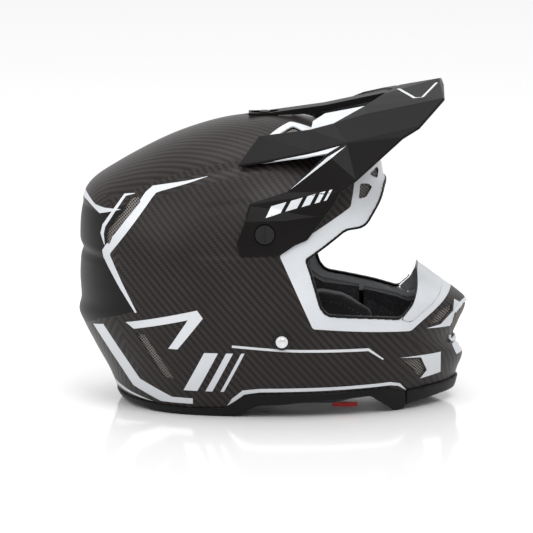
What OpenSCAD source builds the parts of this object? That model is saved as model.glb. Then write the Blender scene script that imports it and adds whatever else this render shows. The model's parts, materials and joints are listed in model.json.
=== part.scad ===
// Off-road motorcycle helmet: shell, peak, energy liners, soft interior and chin strap.
// The wearer faces +X, +Z is up and the wearer's right side is at -Y. The helmet stands on z = 0.

/* [Shell] */
// Half the width of the shell at its widest
half_w = 125; // [122:1:128]
// Thickness of the shell wall
shell_t = 3.5; // [3:0.5:4]
// Fullness of the shell between its side and its middle
fullness = 2.3; // [2.2:0.05:2.4]

/* [Liners] */
// Thickness of the outer energy liner
outer_foam_t = 18; // [16:1:18]
// Gap that the isolation dampers bridge
damper_gap = 5; // [5:0.5:6]
// Thickness of the inner energy liner
inner_foam_t = 12; // [10:1:12]
// Thickness of the comfort liner
comfort_t = 7.5; // [6:0.5:8]

/* [Peak] */
// Thickness of the peak's panels
peak_t = 3; // [2.6:0.1:3.2]
// Tilt of the peak each way from its middle setting, in degrees
peak_tilt = 4; // [3:0.5:4]

/* [Fasteners] */
// Radius of the shoulder on each side screw
shoulder_r = 4; // [3.5:0.1:4.2]
// Radius of the head on each side screw
head_r = 8.2; // [7.8:0.1:8.4]
// Radius of the centre screw's shank
centre_shank_r = 2.5; // [2.2:0.1:2.6]

/* [Strap] */
// Width of the chin strap webbing
web_w = 24; // [22:1:25]
// Thickness of the chin strap webbing
web_t = 1.8; // [1.6:0.1:2]

/* [Hidden] */

// The drawing frame has x = 0 near the peak's pivot. This shift centres the helmet over its footprint.
fore = -3;
// Clearance between pieces that touch on the real helmet
fit = 0.15;

// Centre of the shell's side view, as [x, z]
hub = [-20, 120];
// The shell's outline on the middle plane, from the lower back round the chin and over the crown
outline = [[-165, 108], [-164, 90], [-166, 79], [-162, 69], [-152, 49.5], [-140, 28], [-130, 6],
           [-100, -30], [-20, -50], [60, -50], [130, -30], [159.7, 8.6], [164.5, 25], [169.5, 42],
           [162, 52], [167, 67], [173, 86], [160, 98], [151, 103.4], [140, 111], [130, 117.6],
           [125.4, 132.7], [118.6, 157.1], [101, 195.5], [97, 211], [85, 226], [60, 239], [30, 248],
           [-6, 250.7], [-26, 248.5], [-61, 240.5], [-89, 230], [-112, 218.6], [-135, 205],
           [-158, 184], [-165, 144], [-163.6, 135]];

// Opening for the eyes, as seen from the side
eye_port = [[31, 142], [37, 124], [44, 99], [50, 92], [94.6, 86.6], [115, 83], [125, 94], [129, 105],
            [130, 118], [260, 118], [260, 195], [101, 195.5], [96.6, 184], [84, 167], [79, 165],
            [66, 165], [53, 156], [36.5, 145]];
// Everything below the shell's lower edge
below_edge = [[-220, -90], [220, -90], [220, 12], [118, 12], [104, 20], [88, 19.8], [10, 18],
              [-15, 17.5], [-39, 5.5], [-69, 4], [-101, 5.5], [-135, 7], [-220, 8]];
// Side view of the rubber trim on the lower edge. Its three flat stretches stand on the ground.
trim_zone = [[-220, 11], [-135, 10], [-101, 8.5], [-69, 7], [-39, 8.6], [-17, 22], [88, 23],
             [103.5, 23.5], [118, 17.5], [119, 17.5], [119, 3], [116, 0], [108, 0], [104, 4],
             [88, 16.6], [27, 13], [9.6, 11], [-10, 10.6], [-28, 0], [-99, 0], [-112, 3], [-220, 4]];
chin_trim_zone = [[119.3, 3.5], [124, 5], [148, 8.5], [220, 8.5], [220, 20.5], [163, 20.5], [119.3, 18.5]];
guard_zone = [[115, 83], [123, 80], [141, 92], [148, 98], [152, 104], [156, 112], [170, 130],
              [126, 130], [129, 105], [125, 94]];

// Vents, as seen from the side
chin_vent_upper = [[138, 73], [149, 73.5], [159, 83], [160, 89], [150, 86]];
chin_vent_lower = [[114, 48], [131, 46], [136, 34], [131, 28.5], [124, 38]];
brow_vent_low = [[79, 200], [86, 198.5], [89.5, 195], [84, 188], [77.5, 188]];
brow_vent_high = [[87, 205], [93.5, 209], [95.5, 206], [94, 200]];
rear_slot_high = [[-114, 190], [-110.5, 186], [-136, 155], [-138.5, 145], [-142, 145], [-140.5, 157]];
rear_slot_low = [[-114, 73], [-108.5, 73], [-82, 34.6], [-87, 34.6]];
// Crown intake from above and mouth vent from the front, as [x, |y|] and [y, z]
crown_vent = [[3.5, 60], [21, 35], [30, 42], [20, 57]];
crown_frame = [[-7, 66], [19, 27], [40, 33], [23, 65]];
mouth_vent = [[-30, 80], [-22, 55], [22, 55], [30, 80], [18, 86], [-18, 86]];
mesh_lap = 2.5;
mesh_t = 0.8;
mesh_gap = 0.3;

// Side-view zones of the layers inside the shell
liner_zone = [[-220, 37], [-80, 37], [-62, 66], [-34, 98], [10, 112], [26, 142], [50, 163], [60, 172],
              [80, 174], [90, 190], [91, 230], [60, 300], [-220, 300]];
inner_zone = [[-220, 44], [-88, 44], [-70, 72], [-40, 105], [0, 118], [18, 146], [45, 168], [60, 176],
              [74, 180], [78, 230], [60, 300], [-220, 300]];
chin_foam_zone = [[84, 27], [118, 27], [124, 24], [190, 24], [190, 80], [140, 82], [122, 76], [113, 78],
                  [84, 81]];
block_zone = [[-30, 26], [80, 29], [80, 82], [48, 86], [38, 92], [30, 122], [26, 134], [14, 106],
              [-30, 92]];
neck_zone = [[-220, 14], [-100, 12], [-46, 13], [-52, 30], [-72, 34], [-220, 34]];
pad_zone = [[-36, 8], [64, 8], [88, 17], [97, 34], [93, 66], [66, 80], [44, 84], [32, 76], [28, 52],
            [-20, 50], [-34, 40]];
// A cheek pad from above, as [x, |y|]. It slides straight down, so its sides are upright.
pad_plan = [[-36, 62], [-30, 80], [-10, 86], [50, 86], [78, 79], [95, 64], [90, 58], [60, 60], [10, 61],
            [-26, 60]];

// Depths of the layers, measured inwards from the shell's outer face
outer_foam_in = 5;
outer_foam_out = outer_foam_in + outer_foam_t;
inner_foam_in = outer_foam_out + damper_gap;
inner_foam_out = inner_foam_in + inner_foam_t;
comfort_in = inner_foam_out + 0.5;
comfort_out = comfort_in + comfort_t;

// Peak pivot, as [x, z], and the faces it stacks up outwards from the middle plane
pivot = [-3.7, 165];
boss_y = 118.6;
boss_r = 14;
washer_r = 8;
washer_t = 4.2;
washer_y = boss_y + 0.2;
head_y = washer_y + washer_t + 0.1;
head_t = 3.2;
shank_r = 3;
shank_tip_y = 106;
insert_r = 6;
insert_flange_r = 9;
insert_y = 109.2;
insert_flange_t = 2.2;

// Centre screw, above the pivot so that the peak's tail slides level beneath it
crown_flat_z = 248.9;
tail_z = crown_flat_z + 0.2;
tail_t = 1.7;
centre_head_r = 5;
centre_head_t = 2;
centre_head_z = tail_z + tail_t + 0.65;
slot_travel = (tail_z + tail_t - pivot[1]) * tan(peak_tilt) + 0.4;

// Strap rivet, as [x, z], and the layer in which a strap hangs
rivet = [11, 71];
rivet_y = 117.5;
rivet_r = 4;
strap_y = 53.5;
stem_r = 14;
ring_bar_z = 38;
ring_wire_r = 1.4;
ring_half = 14;
sleeve_r = 3.1;

// ---- The shell's surface -------------------------------------------------------------------

function bearing(p) = atan2(p[1] - hub[1], p[0] - hub[0]);
polar = [for (p = outline) [bearing(p), norm(p - hub)]];
polar_n = len(polar);
// One entry before and one after, so that the curve closes smoothly
function knot(i) = i < 0 ? [polar[i + polar_n][0] - 360, polar[i + polar_n][1]]
                 : i >= polar_n ? [polar[i - polar_n][0] + 360, polar[i - polar_n][1]] : polar[i];
function slope(i) = (knot(i + 1)[1] - knot(i - 1)[1]) / (knot(i + 1)[0] - knot(i - 1)[0]);
function span_of(a, i = 0) = i >= polar_n - 1 || a < polar[i + 1][0] ? i : span_of(a, i + 1);
function hermite(t, span, r0, r1, m0, m1) =
    (2 * t ^ 3 - 3 * t ^ 2 + 1) * r0 + (t ^ 3 - 2 * t ^ 2 + t) * span * m0
    + (3 * t ^ 2 - 2 * t ^ 3) * r1 + (t ^ 3 - t ^ 2) * span * m1;
function wrap(a) = a < polar[0][0] ? a + 360 : a >= polar[0][0] + 360 ? a - 360 : a;
function radius_in(a, i) =
    let (span = knot(i + 1)[0] - knot(i)[0])
    hermite((a - knot(i)[0]) / span, span, knot(i)[1], knot(i + 1)[1], slope(i), slope(i + 1));
// Distance from the hub to the outline at angle a
function radius(a) = let (b = wrap(a)) radius_in(b, span_of(b));
// The same, averaged over a wide arc, for the middle of the shell's sides
function soft_radius(a) = ([for (k = [-3:3]) 1] * [for (k = [-3:3]) radius(a + 5 * k)]) / 7;
// Below 2 the section is pointed, as it is at the chin
function roundness(a) = 2 - 0.4 * exp(-((a + 25) / 35) ^ 2);

turns = 54;
rings = 9;
first_angle = -177;
angles = [for (i = [0:turns - 1]) first_angle + i * 360 / turns];
radii = [for (a = angles) radius(a)];
soft_radii = [for (a = angles) soft_radius(a)];

// The point at turn i and lean b (0 on the middle plane, 90 at the side), grown outwards by g
function skin_point(i, b, g) =
    let (s = cos(b) ^ (2 / fullness),
         r = (soft_radii[i] * (1 - s ^ 5) + radii[i] * s ^ 5 + g) * s,
         y = (half_w + g) * sign(b) * abs(sin(b)) ^ (2 / roundness(angles[i])))
    [hub[0] + r * cos(angles[i]), y, hub[1] + r * sin(angles[i])];

// The whole outer body, filled, grown by g
module body(g) {
    leans = [for (j = [1 - rings:rings - 1]) j * 90 / rings];
    skin = [for (b = leans) for (i = [0:turns - 1]) skin_point(i, b, g)];
    near = len(skin);
    rows = len(leans);
    poles = [[hub[0], -half_w - g, hub[1]], [hub[0], half_w + g, hub[1]]];
    polyhedron(concat(skin, poles),
        concat([for (j = [0:rows - 2]) for (i = [0:turns - 1]) let (k = (i + 1) % turns)
                    each [[j * turns + i, j * turns + k, (j + 1) * turns + i],
                          [j * turns + k, (j + 1) * turns + k, (j + 1) * turns + i]]],
               [for (i = [0:turns - 1]) [near, (i + 1) % turns, i]],
               [for (i = [0:turns - 1])
                   [near + 1, (rows - 1) * turns + i, (rows - 1) * turns + (i + 1) % turns]]),
        convexity = 6);
}

// The layer between depths g_out and g_in, both measured outwards from the shell's outer face
module layer(g_out, g_in) {
    difference() {
        body(g_out);
        body(g_in);
    }
}

// ---- Helpers -------------------------------------------------------------------------------

// Shifts a piece into the part's frame
module placed() translate([fore, 0, 0]) children();
// Solves its children as one mesh, which suits the free-form surfaces
module meshed() resize([0, 0, 0]) children();
module both_sides() {
    children();
    mirror([0, 1, 0]) children();
}
// A side-view shape carried across the whole helmet
module across() rotate([90, 0, 0]) linear_extrude(320, center = true) children();
// A side-view shape carried over the right half only, from y = -inner outwards
module right_half(inner = 1) translate([0, -inner, 0]) rotate([90, 0, 0]) linear_extrude(160) children();
// A front-view shape carried forwards from the middle
module forwards() translate([90, 0, 0]) rotate([90, 0, 90]) linear_extrude(120) children();
// A plan shape carried up through the crown, on the right side
module up_right() translate([0, 0, 150]) mirror([0, 1, 0]) linear_extrude(150) children();
// A cylinder that lies across the helmet on the right side, from y = -a to y = -b
module peg(at, a, b, r, fn = 64) {
    translate([at[0], -a, at[1]]) rotate([90, 0, 0]) cylinder(h = b - a, r = r, $fn = fn);
}

module shell_side_view() {
    difference() {
        translate([-210, -80]) square([420, 400]);
        polygon(below_edge);
        polygon(eye_port);
        offset(delta = 0.3) polygon(guard_zone);
    }
}
// The shell's wall, grown by c on every side, for seating the rubber trims
module shell_wall(c) {
    intersection() {
        layer(c, -shell_t - c);
        across() offset(delta = c) shell_side_view();
    }
}
module side_vents() {
    polygon(chin_vent_upper);
    polygon(chin_vent_lower);
    polygon(brow_vent_low);
    polygon(brow_vent_high);
    polygon(rear_slot_high);
    polygon(rear_slot_low);
}

// ---- Shell and its trims -------------------------------------------------------------------

module shell() {
    color("dimgray") placed() meshed() difference() {
        shell_wall(0);
        both_sides() {
            right_half(6) side_vents();
            up_right() polygon(crown_vent);
            peg(pivot, boss_y, boss_y + 20, boss_r);
            peg(pivot, 100, 130, insert_r + 0.2);
            peg(rivet, 100, 130, rivet_r + 0.2);
        }
        forwards() polygon(mouth_vent);
        translate([pivot[0] - 25, -10.5, crown_flat_z]) cube([49, 21, 20]);
        translate([pivot[0], 0, 200]) cylinder(h = 60, r = 5.2, $fn = 48);
    }
}

module eyeport_trim() {
    color("black") placed() meshed() difference() {
        intersection() {
            layer(1.2, -shell_t - 1.5);
            across() difference() {
                offset(delta = 3) polygon(eye_port);
                offset(delta = -2.2) polygon(eye_port);
                offset(delta = 1.2) polygon(guard_zone);
            }
        }
        shell_wall(fit);
    }
}

module base_trim() {
    color("black") placed() meshed() difference() {
        intersection() {
            layer(1.5, -shell_t - 1.5);
            across() polygon(trim_zone);
        }
        shell_wall(fit);
    }
}

module chin_trim() {
    color("black") placed() meshed() difference() {
        intersection() {
            layer(2.2, -shell_t - 1.5);
            across() polygon(chin_trim_zone);
        }
        shell_wall(fit);
    }
}

module nose_guard() {
    color("whitesmoke") placed() meshed() intersection() {
        layer(0.6, -6);
        across() polygon(guard_zone);
    }
}

// ---- Vents ---------------------------------------------------------------------------------

module mouth_vent_frame() {
    color("whitesmoke") placed() meshed() intersection() {
        layer(2.2, fit);
        forwards() difference() {
            offset(delta = 4.5) polygon(mouth_vent);
            polygon(mouth_vent);
        }
    }
}

module mesh_layer() {
    layer(-shell_t - mesh_gap, -shell_t - mesh_gap - mesh_t);
}

module mouth_vent_mesh() {
    color("gray") placed() meshed() intersection() {
        mesh_layer();
        forwards() offset(delta = mesh_lap) polygon(mouth_vent);
    }
}

module chin_vent_meshes() {
    color("gray") placed() meshed() both_sides() intersection() {
        mesh_layer();
        right_half(34) offset(delta = mesh_lap) {
            polygon(chin_vent_upper);
            polygon(chin_vent_lower);
        }
    }
}

module brow_vent_meshes() {
    color("gray") placed() meshed() both_sides() intersection() {
        mesh_layer();
        right_half(8) offset(delta = 1.6) {
            polygon(brow_vent_low);
            polygon(brow_vent_high);
        }
    }
}

module crown_intake_frames() {
    color("whitesmoke") placed() meshed() both_sides() intersection() {
        layer(1, fit);
        up_right() difference() {
            polygon(crown_frame);
            polygon(crown_vent);
        }
    }
}

module crown_intake_meshes() {
    color("gray") placed() meshed() both_sides() intersection() {
        mesh_layer();
        up_right() offset(delta = mesh_lap) polygon(crown_vent);
    }
}

module rear_vent_meshes() {
    color("gray") placed() meshed() both_sides() intersection() {
        mesh_layer();
        right_half(12) offset(delta = mesh_lap) {
            polygon(rear_slot_high);
            polygon(rear_slot_low);
        }
    }
}

// ---- Energy liners -------------------------------------------------------------------------

module outer_liner() {
    color("darkslategray") placed() meshed() difference() {
        intersection() {
            layer(-outer_foam_in, -outer_foam_out);
            across() polygon(liner_zone);
        }
        both_sides() peg(pivot, 100, 130, insert_flange_r + 1.5, 32);
        translate([pivot[0], 0, 236]) cylinder(h = 30, r = 10, $fn = 32);
    }
}

// Where the dampers stand, as [turn, lean]
damper_turns = [for (a = [63, 87, 117, 141, 165]) round((a - first_angle) * turns / 360)];
damper_places = [for (b = [-62, -34, 0, 34, 62]) for (i = damper_turns) [i, b]];
// One damper is a spool, as [radius, height] round its own axis
damper_profile = [[0, -1.5], [6, -1.5], [6, -1], [3, 0], [6, 1], [6, 1.5], [0, 1.5]];

module damper() rotate_extrude($fn = 20) polygon(damper_profile);
// The direction square to the surface at turn i and lean b, grown by g
function square_to(i, b, g) =
    let (round_step = skin_point(i + 1, b, g) - skin_point(i - 1, b, g),
         lean_step = skin_point(i, b + 4, g) - skin_point(i, b - 4, g))
    cross(round_step, lean_step);
module isolation_dampers() {
    mid = -(outer_foam_out + inner_foam_in) / 2;
    color("orange") placed() for (d = damper_places) {
        p = skin_point(d[0], d[1], mid);
        n = square_to(d[0], d[1], mid);
        translate(p) rotate([0, acos(n[2] / norm(n)), atan2(n[1], n[0])]) damper();
    }
}

module inner_liner() {
    color("dimgray") placed() meshed() intersection() {
        layer(-inner_foam_in, -inner_foam_out);
        across() polygon(inner_zone);
    }
}

module comfort_liner() {
    color("black") placed() meshed() intersection() {
        layer(-comfort_in, -comfort_out);
        across() offset(delta = -3) polygon(inner_zone);
    }
}

module chin_bar_liner() {
    color("darkslategray") placed() meshed() difference() {
        intersection() {
            layer(-outer_foam_in - 0.6, -20);
            across() polygon(chin_foam_zone);
        }
        forwards() offset(delta = -3) polygon(mouth_vent);
        both_sides() {
            pad_space();
            // Air channels behind the chin vents
            right_half(34) offset(delta = mesh_lap + 0.6) {
                polygon(chin_vent_upper);
                polygon(chin_vent_lower);
            }
        }
    }
}

// The upright space that a right cheek pad fills and slides through
module pad_space() {
    translate([0, 0, -80]) mirror([0, 1, 0]) linear_extrude(170) offset(delta = 1) polygon(pad_plan);
}
module cheek_block() {
    difference() {
        intersection() {
            body(-outer_foam_in);
            right_half(88) polygon(block_zone);
        }
        pad_space();
        peg(rivet, 80, 130, stem_r + 2, 32);
    }
}
module cheek_block_left() {
    color("darkslategray") placed() meshed() mirror([0, 1, 0]) cheek_block();
}
module cheek_block_right() {
    color("darkslategray") placed() meshed() cheek_block();
}

module neck_roll() {
    color("black") placed() meshed() intersection() {
        layer(-shell_t - 2.5, -30);
        across() polygon(neck_zone);
    }
}

// ---- Cheek pads ----------------------------------------------------------------------------

module cheek_pad() {
    intersection() {
        translate([0, 0, -10]) mirror([0, 1, 0]) linear_extrude(120) polygon(pad_plan);
        right_half(50) polygon(pad_zone);
    }
}
module cheek_pad_left() {
    color("black") placed() mirror([0, 1, 0]) cheek_pad();
}
module cheek_pad_right() {
    color("black") placed() cheek_pad();
}

tab_at = [66, 70];
module release_tab() {
    translate([tab_at[0] - 11, -tab_at[1] - 1.2, 2.2]) cube([22, 2.4, 5.6]);
}
module release_tab_left() {
    color("red") placed() mirror([0, 1, 0]) release_tab();
}
module release_tab_right() {
    color("red") placed() release_tab();
}

// Snap studs that stand on the cheek blocks and meet the pads
snap_places = [[-14, 42], [34, 36], [68, 50]];
module cheek_snaps() {
    color("silver") placed() both_sides() for (p = snap_places) peg(p, 86.4, 87.8, 5, 32);
}

// ---- Peak ----------------------------------------------------------------------------------

// Corners of the peak on the right side, as [x, |y|, z]
rear_tip = [-25, 87, 219];
fin_top = [[-8, 63, 239.5], [35.7, 62, 245], [56.5, 55, 249.5], [83.9, 40, 262.5], [100, 18, 269.5]];
fin_low = [[-8, 89, 222], [35.7, 92, 231], [66.7, 93, 239]];
nose = [[109, 0, 272], [147.6, 0, 280.5], [151, 0, 276]];
brim = [[150.5, 58, 272], [128.8, 91, 252.8], [114.8, 97, 245], [74.5, 109, 210]];
fold = [83.5, 60, 258.5];
notch = [50.5, 100, 230];
arm = [[60, 111, 200], [55, 112, 190], [32, 117, 160], [8.5, 122, 150], [-24, 122.5, 146],
       [-27.6, 120.6, 157.7], [-15.3, 112, 188.6], [16.5, 106, 198]];
spine = [[-5.5, 252], [48.7, 259.6], [100, 270.5]];
spine_half_w = 8.5;
spine_t = 5;

// A panel stretched over a few corners
module panel(corners) {
    hull() for (c = corners) translate([c[0], -c[1], c[2]]) sphere(d = peak_t, $fn = 8);
}
module peak_half() {
    panel([nose[0], nose[1], nose[2], brim[0], fold, fin_top[3], fin_top[4]]);
    panel([fold, brim[0], brim[1], fin_low[2]]);
    panel([fin_top[3], fin_top[2], fold]);
    panel([fin_top[2], fold, fin_low[2]]);
    panel([fin_top[2], fin_top[1], fin_low[1], fin_low[2]]);
    panel([fin_top[1], fin_top[0], fin_low[0], fin_low[1]]);
    panel([fin_top[0], fin_low[0], rear_tip]);
    panel([fin_low[2], brim[1], brim[2]]);
    panel([fin_low[2], brim[2], brim[3]]);
    panel([fin_low[2], brim[3], notch]);
    panel([notch, brim[3], arm[0], arm[7]]);
    panel(arm);
}
// A slice of the spine whose top is at p, as [x, z], and that is t thick
module spine_slice(p, t) translate([p[0], -spine_half_w, p[1] - t]) cube([2, 2 * spine_half_w, t]);
module spine_bar() {
    for (i = [0:1]) hull() {
        spine_slice(spine[i], spine_t);
        spine_slice(spine[i + 1], spine_t);
    }
    hull() {
        spine_slice(spine[2], spine_t);
        spine_slice([nose[0][0], nose[0][2]], peak_t);
    }
    // Tail that slides on the crown, with a rail along each side of the screw's head
    translate([pivot[0] - 14, -spine_half_w, tail_z]) cube([24, 2 * spine_half_w, 3.4]);
}
// Its children in every setting they could take as the peak tilts
module tilt_sweep() {
    for (a = [-peak_tilt, 0, peak_tilt])
        translate([pivot[0], 0, pivot[1]]) rotate([0, a, 0]) translate([-pivot[0], 0, -pivot[1]]) children();
}
module peak() {
    color("dimgray") placed() meshed() difference() {
        union() {
            difference() {
                union() {
                    both_sides() peak_half();
                    spine_bar();
                }
                difference() {
                    tilt_sweep() body(1.5);
                    translate([pivot[0] - 15, -9, tail_z]) cube([27, 18, 10]);
                }
            }
            both_sides() peg(pivot, washer_y, washer_y + washer_t, washer_r + 3.5);
        }
        tilt_sweep() translate([-60, -15, 200]) cube([100, 30, tail_z - 200]);
        both_sides() {
            peg(pivot, 100, 140, washer_r + 0.1);
            peg(pivot, washer_y + washer_t, 140, head_r + 0.8);
        }
        translate([pivot[0], 0, tail_z + tail_t]) hull() for (s = [-1, 1])
            translate([s * slot_travel, 0, 0]) cylinder(h = 20, r = centre_head_r + 1, $fn = 32);
        translate([pivot[0], 0, tail_z - 2]) hull() for (s = [-1, 1])
            translate([s * slot_travel, 0, 0]) cylinder(h = 9, r = centre_shank_r + 0.3, $fn = 32);
    }
}

module peak_washers() {
    color("black") placed() both_sides() difference() {
        peg(pivot, washer_y, washer_y + washer_t, washer_r);
        peg(pivot, washer_y - 1, washer_y + washer_t + 1, shoulder_r + 0.05);
    }
}

module side_screw() {
    difference() {
        union() {
            peg(pivot, head_y, head_y + head_t, head_r);
            peg(pivot, washer_y, head_y, shoulder_r);
            peg(pivot, shank_tip_y, washer_y, shank_r);
        }
        translate([pivot[0], -head_y - head_t, pivot[1]]) cube([1.6, 2.4, 13], center = true);
    }
}
module peak_screw_left() {
    color("black") placed() mirror([0, 1, 0]) side_screw();
}
module peak_screw_right() {
    color("black") placed() side_screw();
}

module peak_centre_screw() {
    color("black") placed() translate([pivot[0], 0, 0]) difference() {
        union() {
            translate([0, 0, centre_head_z]) cylinder(h = centre_head_t, r = centre_head_r, $fn = 64);
            translate([0, 0, 240]) cylinder(h = centre_head_z - 240, r = centre_shank_r, $fn = 64);
        }
        translate([0, 0, centre_head_z + centre_head_t]) cube([8, 1.2, 1.6], center = true);
    }
}

module side_inserts() {
    color("gold") placed() both_sides() difference() {
        union() {
            peg(pivot, insert_y, insert_y + insert_flange_t, insert_flange_r);
            peg(pivot, insert_y + insert_flange_t, boss_y - 0.2, insert_r);
        }
        peg(pivot, insert_y - 1, boss_y + 1, shank_r + 0.05);
    }
}

module centre_insert() {
    color("gold") placed() translate([pivot[0], 0, 0]) difference() {
        union() {
            translate([0, 0, 242]) cylinder(h = 2.5, r = 8, $fn = 64);
            translate([0, 0, 244.5]) cylinder(h = crown_flat_z - 244.7, r = 5, $fn = 64);
        }
        translate([0, 0, 240]) cylinder(h = 20, r = centre_shank_r + 0.05, $fn = 64);
    }
}

// ---- Chin strap ----------------------------------------------------------------------------

module strap_rivets() {
    color("silver") placed() both_sides() {
        peg(rivet, rivet_y - 7, rivet_y + 6, rivet_r);
        peg(rivet, rivet_y + 5.6, rivet_y + 7.2, 5.2);
    }
}

// The strap's stem runs inwards from the rivet, then turns down beside the cheek pad
module strap(bottom_z) {
    left = rivet[0] - web_w / 2;
    top = rivet[1] + 3;
    outer = rivet_y - 9;
    translate([left, -outer, top]) cube([web_w, outer - strap_y, web_t]);
    translate([left, -strap_y - web_t / 2, bottom_z]) cube([web_w, web_t, top + web_t - bottom_z]);
    difference() {
        peg(rivet, rivet_y - 10.5, rivet_y - 8, 11);
        peg(rivet, rivet_y - 12, rivet_y - 7, 1, 16);
    }
}
module strap_left() {
    color("black") placed() mirror([0, 1, 0]) {
        strap(14);
        // The long end is folded back up and held by its snap
        translate([rivet[0] - web_w / 2, -strap_y + web_t / 2 + 0.6, 12.2]) cube([web_w, web_t, 34]);
        translate([rivet[0] - web_w / 2, -strap_y - web_t / 2, 12.2]) cube([web_w, 2 * web_t + 0.6, web_t]);
    }
}
module strap_right() {
    color("black") placed() {
        strap(ring_bar_z + sleeve_r + 0.4);
        translate([rivet[0], -strap_y, ring_bar_z]) rotate([0, 90, 0]) difference() {
            cylinder(h = web_w, r = sleeve_r + 1.5, center = true, $fn = 48);
            cylinder(h = web_w + 2, r = sleeve_r, center = true, $fn = 48);
        }
    }
}

module strap_sleeve() {
    z0 = 48;
    difference() {
        translate([rivet[0] - web_w / 2 - 2.4, -strap_y - web_t / 2 - 2.4, z0])
            cube([web_w + 4.8, web_t + 4.8, 20]);
        translate([rivet[0] - web_w / 2 - 0.1, -strap_y - web_t / 2 - 0.1, z0 - 1])
            cube([web_w + 0.2, web_t + 0.2, 22]);
    }
}
module strap_sleeve_left() {
    color("black") placed() mirror([0, 1, 0]) strap_sleeve();
}
module strap_sleeve_right() {
    color("black") placed() strap_sleeve();
}

// One ring: a straight bar along x, two short sides and a round bow below them
module d_ring() {
    bar = 2 * ring_half;
    rotate([0, 90, 0]) cylinder(h = bar, r = ring_wire_r, center = true, $fn = 32);
    for (s = [-1, 1]) translate([s * ring_half, 0, 0]) {
        sphere(r = ring_wire_r, $fn = 32);
        translate([0, 0, -9]) cylinder(h = 9, r = ring_wire_r, $fn = 32);
    }
    translate([0, 0, -9]) rotate([90, 0, 0]) rotate([0, 0, 180])
        rotate_extrude(angle = 180, $fn = 64) translate([ring_half, 0]) circle(r = ring_wire_r, $fn = 32);
}
module d_rings() {
    color("silver") placed() for (s = [-1, 1])
        translate([rivet[0], -strap_y + s * (ring_wire_r + 0.15), ring_bar_z]) d_ring();
}

module strap_snap() {
    color("dimgray") placed() mirror([0, 1, 0])
        peg([rivet[0], 38], strap_y - web_t * 1.5 - 2.8, strap_y - web_t * 1.5 - 0.65, 6, 48);
}

shell();
eyeport_trim();
base_trim();
chin_trim();
nose_guard();
mouth_vent_frame();
mouth_vent_mesh();
chin_vent_meshes();
brow_vent_meshes();
crown_intake_frames();
crown_intake_meshes();
rear_vent_meshes();
outer_liner();
isolation_dampers();
inner_liner();
comfort_liner();
chin_bar_liner();
cheek_block_left();
cheek_block_right();
neck_roll();
cheek_pad_left();
cheek_pad_right();
release_tab_left();
release_tab_right();
cheek_snaps();
peak();
peak_washers();
peak_screw_left();
peak_screw_right();
peak_centre_screw();
side_inserts();
centre_insert();
strap_rivets();
strap_left();
strap_right();
strap_sleeve_left();
strap_sleeve_right();
d_rings();
strap_snap();
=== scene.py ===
"""Off-road helmet: the looks of every piece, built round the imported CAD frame."""

import json
import math

import bmesh
import bpy
import numpy as np
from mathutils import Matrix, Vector
from mathutils.bvhtree import BVHTree
from mathutils.geometry import delaunay_2d_cdt, tessellate_polygon


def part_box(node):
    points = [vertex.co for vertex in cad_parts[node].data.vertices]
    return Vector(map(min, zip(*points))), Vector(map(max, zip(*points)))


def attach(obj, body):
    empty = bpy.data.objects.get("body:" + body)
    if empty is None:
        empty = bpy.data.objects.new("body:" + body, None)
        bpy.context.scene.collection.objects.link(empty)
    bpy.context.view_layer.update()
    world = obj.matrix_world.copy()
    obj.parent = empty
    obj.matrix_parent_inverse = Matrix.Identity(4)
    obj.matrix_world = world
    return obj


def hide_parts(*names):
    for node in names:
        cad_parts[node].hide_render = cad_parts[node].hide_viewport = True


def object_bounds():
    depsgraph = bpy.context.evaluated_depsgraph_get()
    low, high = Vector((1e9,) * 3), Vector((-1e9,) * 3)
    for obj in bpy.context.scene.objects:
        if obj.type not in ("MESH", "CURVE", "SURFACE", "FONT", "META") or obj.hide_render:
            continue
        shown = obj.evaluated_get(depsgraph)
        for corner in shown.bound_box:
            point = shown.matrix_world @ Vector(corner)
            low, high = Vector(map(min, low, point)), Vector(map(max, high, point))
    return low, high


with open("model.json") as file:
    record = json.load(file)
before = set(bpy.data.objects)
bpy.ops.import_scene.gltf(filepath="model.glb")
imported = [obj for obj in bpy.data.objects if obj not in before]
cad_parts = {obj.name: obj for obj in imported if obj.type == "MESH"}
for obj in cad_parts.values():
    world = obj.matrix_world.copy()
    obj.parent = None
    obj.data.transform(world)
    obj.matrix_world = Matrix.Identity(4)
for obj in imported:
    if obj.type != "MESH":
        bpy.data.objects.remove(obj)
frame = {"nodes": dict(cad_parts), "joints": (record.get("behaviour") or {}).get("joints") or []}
cad_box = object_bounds()
MM = 0.001

# ---- The shell's surface ---------------------------------------------------------------------
# Side-view coordinates are millimetres in the drawing frame, whose x = 0 lies PIVOT_X ahead of
# the peak's pivot. The joint says where the pivot is, so it also gives the shift between frames.
PIVOT = (-3.7, 165.0)
tilt = next(j for j in frame["joints"] if j["name"] == "peak_tilt")
FORE = tilt["pos_m"][0] / MM - PIVOT[0]
HALF_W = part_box("shell")[1].y / MM
SHELL_T = 3.5
FULLNESS = 2.3
HUB = np.array([-20.0, 120.0])
OUTLINE = [(-165, 108), (-164, 90), (-166, 79), (-162, 69), (-152, 49.5), (-140, 28), (-130, 6),
           (-100, -30), (-20, -50), (60, -50), (130, -30), (159.7, 8.6), (164.5, 25), (169.5, 42),
           (162, 52), (167, 67), (173, 86), (160, 98), (151, 103.4), (140, 111), (130, 117.6),
           (125.4, 132.7), (118.6, 157.1), (101, 195.5), (97, 211), (85, 226), (60, 239), (30, 248),
           (-6, 250.7), (-26, 248.5), (-61, 240.5), (-89, 230), (-112, 218.6), (-135, 205),
           (-158, 184), (-165, 144), (-163.6, 135)]
rel = np.array(OUTLINE) - HUB
KNOT_A = np.degrees(np.arctan2(rel[:, 1], rel[:, 0]))
KNOT_R = np.hypot(rel[:, 0], rel[:, 1])


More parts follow.
